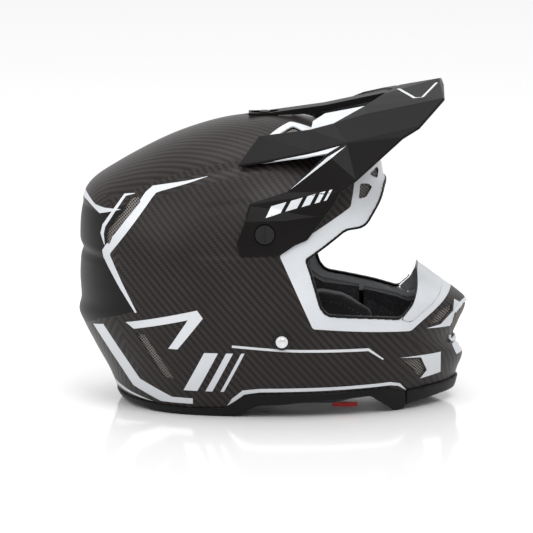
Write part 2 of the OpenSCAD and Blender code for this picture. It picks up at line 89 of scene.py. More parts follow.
def radius(angle):
    """Distance from the hub to the outline, by a closed cubic through the outline's points."""
    a = np.concatenate([KNOT_A[-2:] - 360, KNOT_A, KNOT_A[:3] + 360])
    r = np.concatenate([KNOT_R[-2:], KNOT_R, KNOT_R[:3]])
    m = np.zeros_like(r)
    m[1:-1] = (r[2:] - r[:-2]) / (a[2:] - a[:-2])
    x = (np.asarray(angle, float) - a[2]) % 360 + a[2]
    i = np.clip(np.searchsorted(a, x, side="right") - 1, 1, len(a) - 3)
    span = a[i + 1] - a[i]
    t = (x - a[i]) / span
    return ((2 * t**3 - 3 * t**2 + 1) * r[i] + (t**3 - 2 * t**2 + t) * span * m[i]
            + (3 * t**2 - 2 * t**3) * r[i + 1] + (t**3 - t**2) * span * m[i + 1])


ANGLE_TABLE = np.arange(0, 360, 0.25)
SHARP_TABLE = radius(ANGLE_TABLE)
SOFT_TABLE = np.mean([radius(ANGLE_TABLE + 5 * k) for k in range(-3, 4)], axis=0)


def sharp_radius(angle):
    return np.interp(np.asarray(angle) % 360, ANGLE_TABLE, SHARP_TABLE, period=360)


def soft_radius(angle):
    return np.interp(np.asarray(angle) % 360, ANGLE_TABLE, SOFT_TABLE, period=360)


def roundness(angle):
    a = (np.asarray(angle) + 180) % 360 - 180
    return 2 - 0.4 * np.exp(-((a + 25) / 35) ** 2)


def skin(angle, lean, g):
    """Points at a side-view angle and a lean (0 on the middle plane, 90 at the side), in mm."""
    s = np.abs(np.cos(np.radians(lean))) ** (2 / FULLNESS)
    r = (soft_radius(angle) * (1 - s**5) + sharp_radius(angle) * s**5 + g) * s
    y = (HALF_W + g) * np.sign(lean) * np.abs(np.sin(np.radians(lean))) ** (2 / roundness(angle))
    a = np.radians(angle)
    return np.stack([HUB[0] + r * np.cos(a), y, HUB[1] + r * np.sin(a)], axis=-1)


def share_out(x, z, g):
    """How far (x, z) lies towards the outline: 0 at the hub, 1 on the outline."""
    dx, dz = x - HUB[0], z - HUB[1]
    rho = np.hypot(dx, dz)
    angle = np.degrees(np.arctan2(dz, dx))
    soft, sharp = soft_radius(angle) + g, sharp_radius(angle) + g
    lo, hi = np.zeros_like(rho), np.full_like(rho, 1.6)
    for _ in range(40):
        mid = (lo + hi) / 2
        far = mid * (soft * (1 - mid**5) + sharp * mid**5) > rho
        hi = np.where(far, mid, hi)
        lo = np.where(far, lo, mid)
    return (lo + hi) / 2, angle


def half_width(x, z, g=0.0):
    """Half the helmet's width at a side-view point, grown by g. It is 0 outside the outline."""
    s, angle = share_out(np.asarray(x, float), np.asarray(z, float), g)
    return (HALF_W + g) * np.clip(1 - s**FULLNESS, 0, 1) ** (1 / roundness(angle))


# ---- Mesh helpers ----------------------------------------------------------------------------

def to_frame(points):
    """Drawing millimetres to the frame's metres."""
    p = np.array(points, float)
    p[..., 0] += FORE
    return p * MM


def placed(name, data):
    """A new object for a mesh, a light or a camera, linked to the scene."""
    obj = bpy.data.objects.new(name, data)
    bpy.context.scene.collection.objects.link(obj)
    return obj


def new_object(name, verts, faces, smooth=True):
    mesh = bpy.data.meshes.new(name)
    mesh.from_pydata([tuple(v) for v in verts], [], [tuple(f) for f in faces])
    mesh.validate()
    if smooth:
        mesh.shade_smooth()
    return placed(name, mesh)


def duplicate(obj):
    """A copy of an object, with a mesh of its own."""
    twin = obj.copy()
    twin.data = obj.data.copy()
    bpy.context.scene.collection.objects.link(twin)
    return twin


def drop(obj):
    mesh = obj.data
    bpy.data.objects.remove(obj)
    if mesh.users == 0:
        bpy.data.meshes.remove(mesh)


def baked(obj):
    """Applies every modifier on obj."""
    graph = bpy.context.evaluated_depsgraph_get()
    graph.update()
    mesh = bpy.data.meshes.new_from_object(obj.evaluated_get(graph))
    old = obj.data
    obj.modifiers.clear()
    obj.data = mesh
    if old.users == 0:
        bpy.data.meshes.remove(old)
    return obj


def modify(obj, kind, **settings):
    """Adds a modifier."""
    mod = obj.modifiers.new(kind.lower(), kind)
    for key, value in settings.items():
        setattr(mod, key, value)
    return obj


def carve(obj, cutter, operation):
    baked(modify(obj, "BOOLEAN", object=cutter, operation=operation, solver="MANIFOLD"))
    drop(cutter)
    return obj


def on_faces(obj, operation):
    """Runs a bmesh operation on all of an object's faces."""
    bm = bmesh.new()
    bm.from_mesh(obj.data)
    operation(bm, faces=bm.faces)
    bm.to_mesh(obj.data)
    bm.free()
    return obj


def tube_faces(rings, sides, base=0):
    """Faces of a tube through rings of points that start at vertex base, capped at both ends."""
    last = base + (rings - 1) * sides
    faces = [(k + i, k + (i + 1) % sides, k + sides + (i + 1) % sides, k + sides + i)
             for k in range(base, last, sides) for i in range(sides)]
    return faces + [tuple(reversed(range(base, base + sides))), tuple(range(last, last + sides))]


def rounded(points, r, steps=4):
    """Rounds each corner of a polygon with a short curve that starts r before the corner."""
    out = []
    n = len(points)
    for i in range(n):
        p, q, s = (np.array(points[(i + k) % n], float) for k in (-1, 0, 1))
        a, b = p - q, s - q
        la, lb = np.linalg.norm(a), np.linalg.norm(b)
        ra, rb = min(r, la * 0.45), min(r, lb * 0.45)
        start, end = q + a / la * ra, q + b / lb * rb
        for k in range(steps + 1):
            t = k / steps
            out.append((1 - t) ** 2 * start + 2 * t * (1 - t) * q + t**2 * end)
    return np.array(out)


def grow(points, d):
    """Moves a polygon's edges outwards by d along mitred corners."""
    p = np.array(points, float)
    x, y = p[:, 0], p[:, 1]
    area = np.sum(x * np.roll(y, -1) - np.roll(x, -1) * y)
    e = np.roll(p, -1, axis=0) - p
    e /= np.linalg.norm(e, axis=1)[:, None]
    out = np.stack([e[:, 1], -e[:, 0]], axis=1) * (1 if area > 0 else -1)
    before = np.roll(out, 1, axis=0)
    mitre = out + before
    mitre /= np.maximum(np.sum(mitre * out, axis=1), 0.3)[:, None]
    return p + mitre * d


def ribbon(line, widths):
    """A polygon round a polyline, of the given full width at each point."""
    p = np.array(line, float)
    d = np.gradient(p, axis=0)
    d /= np.linalg.norm(d, axis=1)[:, None]
    n = np.stack([-d[:, 1], d[:, 0]], axis=1)
    w = np.array(widths, float)[:, None] / 2
    return np.concatenate([p + n * w, (p - n * w)[::-1]])


def prism(points, low, high, axis="y"):
    """A closed prism. Points are (x, z) for axis y, (x, y) for axis z and (y, z) for axis x."""
    p = np.array(points, float)
    n = len(p)
    area = np.sum(p[:, 0] * np.roll(p[:, 1], -1) - np.roll(p[:, 0], -1) * p[:, 1])
    if area < 0:
        p = p[::-1]
    order = {"x": (2, 0, 1), "y": (0, 2, 1), "z": (0, 1, 2)}[axis]
    ends = [np.column_stack([p, np.full(n, float(level))])[:, order] for level in (low, high)]
    tris = tessellate_polygon([[Vector((a, b, 0)) for a, b in p]])
    faces = [tuple(t) for t in tris] + [tuple(i + n for i in reversed(t)) for t in tris]
    faces += [(i, (i + 1) % n, (i + 1) % n + n, i + n) for i in range(n)]
    obj = new_object("prism", to_frame(np.concatenate(ends)), faces, smooth=False)
    return on_faces(obj, bmesh.ops.recalc_face_normals)


def across(points, inner=None):
    """A prism through the whole helmet, or one each side from |y| = inner outwards, as a list."""
    if inner is None:
        return [prism(points, -200, 200)]
    return [prism(points, -200, -inner), prism(points, inner, 200)]


def body_mesh(g, turns, rows):
    """Vertices and faces of the closed outer body grown by g, with a row on the middle plane."""
    angles = np.arange(turns) * 360 / turns
    leans = np.linspace(-90, 90, 2 * rows + 1)[1:-1]
    a, b = np.meshgrid(angles, leans)
    verts = skin(a.ravel(), b.ravel(), g)
    n_rows = len(leans)
    poles = np.array([[HUB[0], -HALF_W - g, HUB[1]], [HUB[0], HALF_W + g, HUB[1]]])
    j, i = np.meshgrid(np.arange(n_rows - 1), np.arange(turns), indexing="ij")
    k = (i + 1) % turns
    quads = np.stack([j * turns + i, (j + 1) * turns + i, (j + 1) * turns + k, j * turns + k], axis=-1)
    faces = [tuple(q) for q in quads.reshape(-1, 4)]
    near, far, last = len(verts), len(verts) + 1, (n_rows - 1) * turns
    faces += [(near, m, (m + 1) % turns) for m in range(turns)]
    faces += [(far, last + (m + 1) % turns, last + m) for m in range(turns)]
    return np.concatenate([verts, poles]), faces


def crease(x, z, line, width, depth):
    """A groove (negative depth) or ridge along a side-view polyline, faded out at its ends."""
    best = np.full(x.shape, 1e9)
    along = np.zeros(x.shape)
    pts = np.array(line, float)
    lengths = np.linalg.norm(np.diff(pts, axis=0), axis=1)
    starts = np.concatenate([[0], np.cumsum(lengths)])
    for i, length in enumerate(lengths):
        d = (pts[i + 1] - pts[i]) / length
        t = np.clip((x - pts[i][0]) * d[0] + (z - pts[i][1]) * d[1], 0, length)
        dist = np.hypot(x - pts[i][0] - t * d[0], z - pts[i][1] - t * d[1])
        nearer = dist < best
        along = np.where(nearer, starts[i] + t, along)
        best = np.minimum(best, dist)
    ends = np.clip(np.minimum(along, starts[-1] - along) / (0.2 * starts[-1]), 0, 1)
    return depth * np.exp(-(best / width) ** 2) * ends


def smoothstep(t):
    t = np.clip(t, 0, 1)
    return t * t * (3 - 2 * t)


CROWN_GROOVE = [(-150, 176), (-128, 184), (-98, 199), (-73, 208), (-29.6, 217), (20, 226)]


def relief(p):
    """Height of the moulded lines on the shell, in mm, at points of its outer face."""
    x, y, z = p[:, 0], np.abs(p[:, 1]), p[:, 2]
    side = smoothstep((y - 25) / 25)
    h = crease(x, z, CROWN_GROOVE, 4.0, -1.6)
    h += crease(x, z, [(-70, 141), (8.5, 141)], 3.0, 1.1)
    h += crease(x, z, [(-60, 184), (-49, 186), (-15, 191)], 2.6, -0.9)
    h += crease(x, z, [(-36, 83), (10, 83), (30, 80)], 3.0, -0.9)
    h += crease(x, z, [(27, 46), (66, 46)], 2.5, -0.7)
    h += crease(x, z, [(60, 50), (94, 50)], 6.0, -1.2)
    # Step under the rear lip
    lip = smoothstep((-120 - x) / 20) * smoothstep((z - 172) / 9) * smoothstep((215 - z) / 30)
    notch = smoothstep((-130 - x) / 15) * np.exp(-((z - 134) / 4) ** 2) * -1.6
    return h * side + lip * 2.2 + notch


def vertex_normals(obj):
    n = np.zeros(len(obj.data.vertices) * 3, np.float32)
    obj.data.vertex_normals.foreach_get("vector", n)
    return n.reshape(-1, 3)


def coords(obj):
    c = np.zeros(len(obj.data.vertices) * 3, np.float32)
    obj.data.vertices.foreach_get("co", c)
    return c.reshape(-1, 3).astype(float)


def set_coords(obj, c):
    obj.data.vertices.foreach_set("co", np.asarray(c, np.float32).ravel())
    obj.data.update()


def sculpted_body(name, g, turns, rows, lined=True):
    """The outer body grown by g, with the shell's moulded lines when lined."""
    verts, faces = body_mesh(g, turns, rows)
    obj = new_object(name, to_frame(verts), faces)
    if lined:
        lift = relief(verts)[:, None] * MM
        set_coords(obj, coords(obj) + vertex_normals(obj) * lift)
    return obj


def join(objects, name):
    """Joins closed meshes that don't touch into one object."""
    verts, faces, base = [], [], 0
    for o in objects:
        verts.append(coords(o))
        faces += [tuple(v + base for v in p.vertices) for p in o.data.polygons]
        base += len(o.data.vertices)
        drop(o)
    return new_object(name, np.concatenate(verts), faces)


def flipped(obj):
    return on_faces(obj, bmesh.ops.reverse_faces)


def layer(name, g_out, g_in):
    """The closed layer between two depths."""
    outer, inner = (sculpted_body(name, g, 200, 44) for g in (g_out, g_in))
    return join([outer, flipped(inner)], name)


def intersect(obj, prisms):
    """Keeps what lies in any of the prisms, which don't touch one another."""
    return carve(obj, prisms[0] if len(prisms) == 1 else join(prisms, "prisms"), "INTERSECT")


def subtract(obj, prisms):
    """Cuts each of the prisms away."""
    for p in prisms:
        carve(obj, p, "DIFFERENCE")
    return obj


def soften(obj, width, angle=40):
    """Rounds the hard edges of a piece."""
    return modify(obj, "BEVEL", width=width * MM, segments=2, limit_method="ANGLE",
                  angle_limit=math.radians(angle))


def shade_by_angle(obj, angle=35):
    obj.data.shade_smooth()
    obj.data.set_sharp_from_angle(angle=math.radians(angle))
    return obj


def remeshed(obj, voxel, smooth_steps):
    """Turns a cut piece into an even skin with soft edges, as moulded rubber or padding has."""
    modify(obj, "REMESH", mode="VOXEL", voxel_size=voxel * MM)
    baked(modify(obj, "SMOOTH", factor=0.5, iterations=smooth_steps))
    obj.data.shade_smooth()
    return obj


def cylinder(at, a, b, r):
    """A closed crosswise cylinder from y = a to b, round the side-view point at."""
    t = np.linspace(0, 2 * math.pi, 48, endpoint=False)
    return prism(np.stack([at[0] + r * np.cos(t), at[1] + r * np.sin(t)], axis=1), a, b)


# ---- Materials -------------------------------------------------------------------------------

class Shader:
    """A small builder for node materials."""

    def __init__(self, name):
        self.material = bpy.data.materials.new(name)
        self.material.use_nodes = True
        self.tree = self.material.node_tree
        self.bsdf = self.tree.nodes["Principled BSDF"]
        self._coords = None

    def node(self, kind, **values):
        n = self.tree.nodes.new(kind)
        for key, value in values.items():
            setattr(n, key, value)
        return n

    def link(self, a, b):
        self.tree.links.new(a, b)

    def put(self, socket, value):
        if hasattr(value, "is_output"):
            self.link(value, socket)
        else:
            socket.default_value = value

    def position(self):
        """Object coordinates in millimetres, which move with the piece."""
        if self._coords is None:
            tc = self.node("ShaderNodeTexCoord")
            n = self.node("ShaderNodeVectorMath", operation="SCALE")
            self.link(tc.outputs["Object"], n.inputs[0])
            n.inputs["Scale"].default_value = 1 / MM
            self._coords = n.outputs["Vector"]
        return self._coords

    def math(self, op, *values):
        n = self.node("ShaderNodeMath", operation=op)
        for socket, value in zip(n.inputs, values):
            self.put(socket, value)
        return n.outputs[0]

    def mix(self, factor, a, b, kind="RGBA"):
        n = self.node("ShaderNodeMix", data_type=kind)
        for key, value in (("Factor", factor), ("A", a), ("B", b)):
            self.put(n.inputs[key], value)
        return n.outputs["Result"]

    def pick(self, factor, a, b):
        """Value b where factor is 1, else a."""
        return self.mix(factor, a, b, "FLOAT")

    def parts(self, vector):
        """The x, y and z of a vector."""
        n = self.node("ShaderNodeSeparateXYZ")
        self.link(vector, n.inputs[0])
        return n.outputs["X"], n.outputs["Y"], n.outputs["Z"]

    def noise(self, scale, detail=3.0, roughness=0.5, vector=None):
        n = self.node("ShaderNodeTexNoise")
        n.inputs["Scale"].default_value = scale
        n.inputs["Detail"].default_value = detail
        n.inputs["Roughness"].default_value = roughness
        self.link(vector if vector is not None else self.position(), n.inputs["Vector"])
        return n.outputs["Fac"]

    def ramp(self, value, low, high, a=0.0, b=1.0):
        n = self.node("ShaderNodeMapRange", clamp=True)
        self.put(n.inputs["Value"], value)
        for key, v in zip(("From Min", "From Max", "To Min", "To Max"), (low, high, a, b)):
            n.inputs[key].default_value = v
        return n.outputs["Result"]

    def bump(self, height, strength=0.3, distance=0.0003, normal=None):
        n = self.node("ShaderNodeBump")
        n.inputs["Strength"].default_value = strength
        n.inputs["Distance"].default_value = distance
        self.link(height, n.inputs["Height"])
        if normal is not None:
            self.link(normal, n.inputs["Normal"])
        return n.outputs["Normal"]

    def set(self, **values):
        for key, value in values.items():
            self.put(self.bsdf.inputs[key.replace("_", " ")], value)
        return self


def grey(v, tint=(1.0, 1.0, 1.0)):
    return (v * tint[0], v * tint[1], v * tint[2], 1.0)


WARM = (1.22, 0.97, 0.90)
COOL = (0.955, 0.985, 1.03)
TOW = 1.8
FIBRE = 24.0


def facing(sh):
    """How far the surface faces backwards or forwards, sideways, and up or down, in its own frame."""
    normal = sh.node("ShaderNodeTexCoord").outputs["Normal"]
    return [sh.math("ABSOLUTE", part) for part in sh.parts(normal)]


def twill(sh, u, v, tow, turn):
    """Which way the top tow runs in a two-by-two twill of tow mm tows, and the two tow coordinates."""
    c, s = math.cos(math.radians(turn)), math.sin(math.radians(turn))
    a = sh.math("ADD", sh.math("MULTIPLY", u, c / tow), sh.math("MULTIPLY", v, s / tow))
    b = sh.math("SUBTRACT", sh.math("MULTIPLY", v, c / tow), sh.math("MULTIPLY", u, s / tow))
    step = sh.math("ADD", sh.math("FLOOR", a), sh.math("FLOOR", b))
    phase = sh.math("FLOORED_MODULO", step, 4.0)
    return sh.math("LESS_THAN", phase, 1.5), a, b


def carbon_material():
    sh = Shader("carbon_twill")
    x, y, z = sh.parts(sh.position())
    back, out, up = facing(sh)
    side_warp, a, b = twill(sh, x, z, TOW, -4)
    top_warp = twill(sh, x, y, TOW, 12)[0]
    rear_warp = twill(sh, y, z, TOW, -4)[0]
    use_top = sh.math("GREATER_THAN", up, out)
    use_rear = sh.math("MULTIPLY", sh.math("GREATER_THAN", back, out), sh.math("GREATER_THAN", back, up))
    warp = sh.pick(use_rear, sh.pick(use_top, side_warp, top_warp), rear_warp)
    along_a, along_b = (sh.math("SINE", sh.math("MULTIPLY", t, FIBRE)) for t in (a, b))
    fibre = sh.pick(side_warp, along_a, along_b)
    cloud = sh.noise(0.02, 2.0)
    # Painted sheen: the top tows are painted lighter than the tows under them, and the fine fibre lines
    # lighter still, standing in for how the crossed tows catch the light; the twill pattern itself and the
    # faint clouds are the carbon's own.
    tone = sh.mix(warp, grey(0.0028, WARM), grey(0.0175, WARM))
    tone = sh.mix(sh.ramp(fibre, -1, 1, 0.0, 0.22), tone, grey(0.027, WARM))
    tone = sh.mix(sh.ramp(cloud, 0.35, 0.65, 0.0, 0.3), tone, grey(0.006, WARM))
    fine = sh.noise(3.0, 2.0)
    bump = sh.bump(warp, 0.25, 0.00012)
    bump = sh.bump(fine, 0.05, 0.0001, bump)
    rough = sh.math("ADD", sh.ramp(fine, 0.3, 0.7, 0.36, 0.44), sh.math("MULTIPLY", warp, -0.05))
    sh.set(Base_Color=tone, Roughness=rough, Specular_IOR_Level=0.17, Normal=bump)
    return sh.material


def paint_material(name, value, tint, rough, grain=0.03, coat=0.2, shine=0.5):
    """A sprayed finish: faint orange peel, slight tone drift and fine dust."""
    sh = Shader(name)
    drift = sh.noise(0.015, 2.0)
    tone = sh.mix(sh.ramp(drift, 0.3, 0.7), grey(value * 0.93, tint), grey(value * 1.05, tint))
    peel = sh.noise(1.1, 3.0)
    fine = sh.noise(6.0, 2.0)
    bump = sh.bump(peel, grain, 0.0002)
    sh.set(Base_Color=tone, Roughness=sh.ramp(fine, 0.3, 0.7, rough - 0.04, rough + 0.05), Normal=bump)
    sh.set(Specular_IOR_Level=shine, Coat_Weight=coat, Coat_Roughness=rough * 0.8)
    return sh.material


def moulded_material(name, value, tint, rough, texture=2.4, strength=0.12, shine=0.25):
    """Moulded plastic or rubber with a fine spark-eroded grain."""
    sh = Shader(name)
    grain = sh.noise(texture, 4.0, 0.65)
    drift = sh.noise(0.02, 2.0)
    tone = sh.mix(sh.ramp(drift, 0.3, 0.7), grey(value * 0.88, tint), grey(value * 1.12, tint))
    bump = sh.bump(grain, strength, 0.00015)
    sh.set(Base_Color=tone, Roughness=sh.ramp(grain, 0.3, 0.7, rough - 0.06, rough + 0.08), Normal=bump)
    sh.set(Specular_IOR_Level=shine)
    return sh.material


def fabric_material(name, color, pitch=0.8, rough=0.9, knit=True, strength=0.5):
    """Knit or woven cloth: crossed yarns in the side view and the plan view."""
    sh = Shader(name)
    x, y, z = sh.parts(sh.position())
    lean = sh.math("MULTIPLY", y, 0.7)
    turns = 2 * math.pi / pitch
    a, b = (sh.math("SINE", sh.math("MULTIPLY", sh.math("ADD", t, lean), turns)) for t in (x, z))
    weave = sh.math("MULTIPLY", a, b) if knit else sh.math("ADD", a, sh.math("MULTIPLY", b, 0.4))
    fuzz = sh.noise(1.6, 4.0, 0.6)
    height = sh.math("ADD", sh.math("MULTIPLY", weave, 0.5), fuzz)
    dark = tuple(c * 0.6 for c in color) + (1.0,)
    light = tuple(c * 1.35 for c in color) + (1.0,)
    # Painted shade and highlight: colour follows the yarn height, so the raised yarns are painted lighter and
    # the hollows between them darker; the fuzz in that height also gives the yarns some random tone.
    tone = sh.mix(sh.ramp(height, 0.1, 1.0), dark, light)
    sh.set(Base_Color=tone, Roughness=rough, Normal=sh.bump(height, strength, 0.0003))
    sh.set(Sheen_Weight=0.35, Sheen_Roughness=0.5)
    return sh.material


def foam_material(name, color):
    """Bonded foam beads."""
    sh = Shader(name)
    n = sh.node("ShaderNodeTexVoronoi")
    n.inputs["Scale"].default_value = 0.35
    sh.link(sh.position(), n.inputs["Vector"])
    bead = n.outputs["Distance"]
    # Painted shade: the beads are painted lighter at their raised middles and darker towards the sunken gaps
    # between them.
    tone = sh.mix(sh.ramp(bead, 0.1, 0.7), tuple(c * 1.2 for c in color) + (1.0,),
                  tuple(c * 0.6 for c in color) + (1.0,))
    sh.set(Base_Color=tone, Roughness=0.75, Normal=sh.bump(bead, 0.5, -0.0008))
    return sh.material


def metal_material(name, color, rough):
    sh = Shader(name)
    p = sh.node("ShaderNodeMapping")
    p.inputs["Scale"].default_value = (0.2, 6.0, 6.0)
    sh.link(sh.position(), p.inputs["Vector"])
    brush = sh.noise(1.0, 3.0, vector=p.outputs["Vector"])
    sh.set(Base_Color=color + (1.0,), Metallic=1.0, Normal=sh.bump(brush, 0.08, 0.0001))
    sh.set(Roughness=sh.ramp(brush, 0.3, 0.7, rough - 0.05, rough + 0.1))
    return sh.material


def elastomer_material(name, color):
    sh = Shader(name)
    sh.set(Base_Color=color + (1.0,), Roughness=sh.ramp(sh.noise(0.8), 0.3, 0.7, 0.3, 0.45))
    sh.set(Subsurface_Weight=0.3, Subsurface_Scale=0.002)
    return sh.material


CARBON = carbon_material()
BLACK_PAINT = paint_material("black_paint", 0.0022, WARM, 0.42, coat=0.0, shine=0.14)
WHITE_PAINT = paint_material("white_paint", 0.50, COOL, 0.34, coat=0.3)
PEAK_PLASTIC = moulded_material("peak_plastic", 0.0035, (1.15, 0.97, 0.93), 0.36, shine=0.09)
RUBBER = moulded_material("trim_rubber", 0.0028, (1.0, 1.0, 1.0), 0.45, strength=0.2, shine=0.13)
WHITE_PLASTIC = moulded_material("white_plastic", 0.50, COOL, 0.38, strength=0.05, shine=0.5)
MESH_WIRE = moulded_material("vent_wire", 0.16, (1.08, 0.99, 0.93), 0.5, strength=0.1)
SCREW_BLACK = moulded_material("screw_black", 0.004, (1.0, 1.0, 1.0), 0.33, strength=0.06)
FOAM = foam_material("liner_foam", (0.035, 0.035, 0.04))
KNIT = fabric_material("liner_knit", (0.022, 0.022, 0.026))
MICRO = fabric_material("pad_microfibre", (0.016, 0.016, 0.019), 0.5, strength=0.3)
WEBBING = fabric_material("webbing", (0.018, 0.018, 0.02), 1.4, 0.75, knit=False, strength=0.8)
RED_WEB = fabric_material("red_webbing", (0.45, 0.02, 0.02), 1.2, 0.75, knit=False, strength=0.8)
THREAD = fabric_material("thread", (0.05, 0.05, 0.055), 0.6, 0.7, knit=False)
STEEL = metal_material("steel", (0.62, 0.62, 0.63), 0.26)
BRASS = metal_material("brass", (0.72, 0.53, 0.25), 0.3)
DAMPER = elastomer_material("damper_rubber", (0.75, 0.22, 0.03))
PAINTS = (CARBON, WHITE_PAINT, BLACK_PAINT)


def dress(obj, material):
    obj.data.materials.clear()
    obj.data.materials.append(material)
    return obj


def piece(obj, body, material=None, replaces=()):
    """Hands a finished piece to the frame: its material, its body and the CAD nodes it stands for."""
    if material is not None:
        dress(obj, material)
    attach(obj, body)
    if replaces:
        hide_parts(*replaces)
    return obj


# ---- Side-view shapes ------------------------------------------------------------------------

EYE_PORT = [(31, 142), (37, 124), (44, 99), (50, 92), (94.6, 86.6), (115, 83), (125, 94), (129, 105),
            (130, 118), (260, 118), (260, 195), (101, 195.5), (96.6, 184), (84, 167), (79, 165),
            (66, 165), (53, 156), (36.5, 145)]
BELOW_EDGE = [(-220, -90), (220, -90), (220, 12), (118, 12), (104, 20), (88, 19.8), (10, 18),
              (-15, 17.5), (-39, 5.5), (-69, 4), (-101, 5.5), (-135, 7), (-220, 8)]
TRIM_ZONE = [(-220, 11), (-135, 10), (-101, 8.5), (-69, 7), (-39, 8.6), (-17, 22), (88, 23),
             (103.5, 23.5), (118, 17.5), (119, 17.5), (119, 3), (116, 0), (108, 0), (104, 4),
             (88, 16.6), (27, 13), (9.6, 11), (-10, 10.6), (-28, 0), (-99, 0), (-112, 3), (-220, 4)]
CHIN_TRIM_ZONE = [(119.3, 3.5), (124, 5), (148, 8.5), (220, 8.5), (220, 20.5), (163, 20.5), (119.3, 18.5)]
GUARD_ZONE = [(115, 83), (123, 80), (141, 92), (148, 98), (152, 104), (156, 112), (170, 119.4),
              (129.4, 119.4), (129.4, 112), (129, 105), (125, 94)]
SIDE_VENTS = {
    "chin_vent_upper": ([(138, 73), (149, 73.5), (159, 83), (160, 89), (150, 86)], 34),
    "chin_vent_lower": ([(114, 48), (131, 46), (136, 34), (131, 28.5), (124, 38)], 34),
    "brow_vent_low": ([(79, 200), (86, 198.5), (89.5, 195), (84, 188), (77.5, 188)], 12),
    "brow_vent_high": ([(87, 205), (93.5, 209), (95.5, 206), (94, 200)], 12),
    "rear_slot_high": ([(-119, 187.8), (-112.5, 189.8), (-110.8, 186.5), (-134.5, 157.5), (-138, 148),
                        (-141, 149), (-140, 160)], 12),
    "rear_slot_low": ([(-115.5, 73.5), (-107.5, 73), (-81.5, 33.5), (-90.5, 34)], 12),
}
CROWN_VENT = [(3.5, -60), (21, -35), (30, -42), (20, -57)]
CROWN_FRAME = [(-7, -66), (19, -27), (40, -33), (23, -65)]
MOUTH_VENT = [(-30, 80), (-22, 55), (22, 55), (30, 80), (18, 86), (-18, 86)]
# The mouth vent's frame is open at its sides
FRAME_BREAK = [(-60, 59), (60, 59), (60, 80), (-60, 80)]


CROWN_FLAT = [(-28.7, -10.5), (20.3, -10.5), (20.3, 10.5), (-28.7, 10.5)]
CROWN_FLAT_Z = 248.7
SCREW_SEAT = (118.6, 140)
SCREW_SEAT_R = 14
# How far cuts reach: up through the crown, and forwards through the chin
CROWN = (150, 300)
FRONT = (80, 230)


def mirrored(points):
    return [(x, -y) for x, y in points]


def crown_prisms(points):
    return [prism(points, *CROWN, "z"), prism(mirrored(points), *CROWN, "z")]


# Paint, in the order it is laid: (side-view shape, material index). 1 is white, 2 is black.
WHITE_EYE_BAND = [(9, 146), (37.8, 81.3), (123, 71.9), (145, 87.5), (155.7, 95.9), (159, 98.8),
                  (200, 110), (200, 232), (98, 232), (84, 216), (74.5, 206), (72.8, 194.5),
                  (70.5, 182.6), (35.7, 162.8)]
REAR_STRIPE_LINE = [(-53, 209.5), (-70, 204.5), (-93, 198.5), (-99, 196.8), (-104, 192), (-122, 167.5),
                    (-139, 144.5), (-141, 141), (-140.5, 137), (-128, 114), (-115, 92)]
REAR_STRIPE_W = [0.2, 1.8, 4.4, 5.6, 6.6, 6.8, 7.0, 7.2, 6.6, 4.2, 1.6]
REAR_BLACK = [(-141, 141), (-122, 167.5), (-104, 191), (-112, 188), (-128, 181), (-147, 172), (-170, 176),
              (-210, 176), (-210, 60), (-163, 69), (-148, 80), (-116, 93), (-128, 114), (-140, 137)]
REAR_LIP = [(-175, 190), (-158, 184), (-150.8, 178.5), (-143, 177.6), (-128, 178.7), (-147, 172),
            (-158, 179), (-175, 182)]
SLOT_EDGE = ribbon([(-116, 192), (-124.5, 190), (-133, 178.5), (-143, 163), (-144.6, 156), (-142.5, 147)],
                   [0.4, 2.0, 2.3, 2.8, 3.0, 0.6])
REAR_FLASH = [(-141, 20), (-136, 20.5), (-120, 14.5), (-100, 9.4), (-112, 10.8), (-127, 13.4), (-138, 17)]
PINSTRIPE = ribbon([(-32, 66.4), (9.6, 62.6), (27, 61.8), (86, 60), (99, 49.8)], [2.2, 2.2, 2.4, 2.6, 1.2])
LOW_STRIPE = ribbon([(-36, 10.5), (-31, 16), (-22, 23.6), (-8, 25.4), (60, 26), (105, 26.5), (113, 24.5),
                     (119, 18.5)], [0.3, 3.4, 4.2, 3.4, 3.0, 3.0, 2.6, 0.3])
CHIN_ACCENT_HIGH = [(161.5, 91.5), (169, 86), (158, 68), (136.8, 71.6), (149.5, 72.2), (160.6, 82)]
CHIN_ACCENT_LOW = [(113, 49.4), (149.6, 48.4), (149.6, 29.2), (131.4, 27.2), (137.4, 34), (132, 47)]
LIP_FRONT = [(160, 50.5), (200, 50.5), (200, 41.5), (164, 41.5)]
# Plain slanted bars and an open chevron at the lower back
CHEVRONS = [
    [(-153, 73), (-144, 76), (-112, 30), (-84, 16.5), (-66, 16.5), (-66, 11), (-94, 11), (-118, 22)],
    [(-124, 82), (-62, 98), (-57, 91), (-79, 62), (-87, 62), (-70, 89), (-117, 77)],
    [(-56, 60), (-44, 60), (-62, 24), (-74, 24)],
    [(-37, 60), (-31, 60), (-49, 24), (-55, 24)],
    [(-24, 60), (-21, 60), (-39, 24), (-42, 24)],
]


# ---- Shell -----------------------------------------------------------------------------------

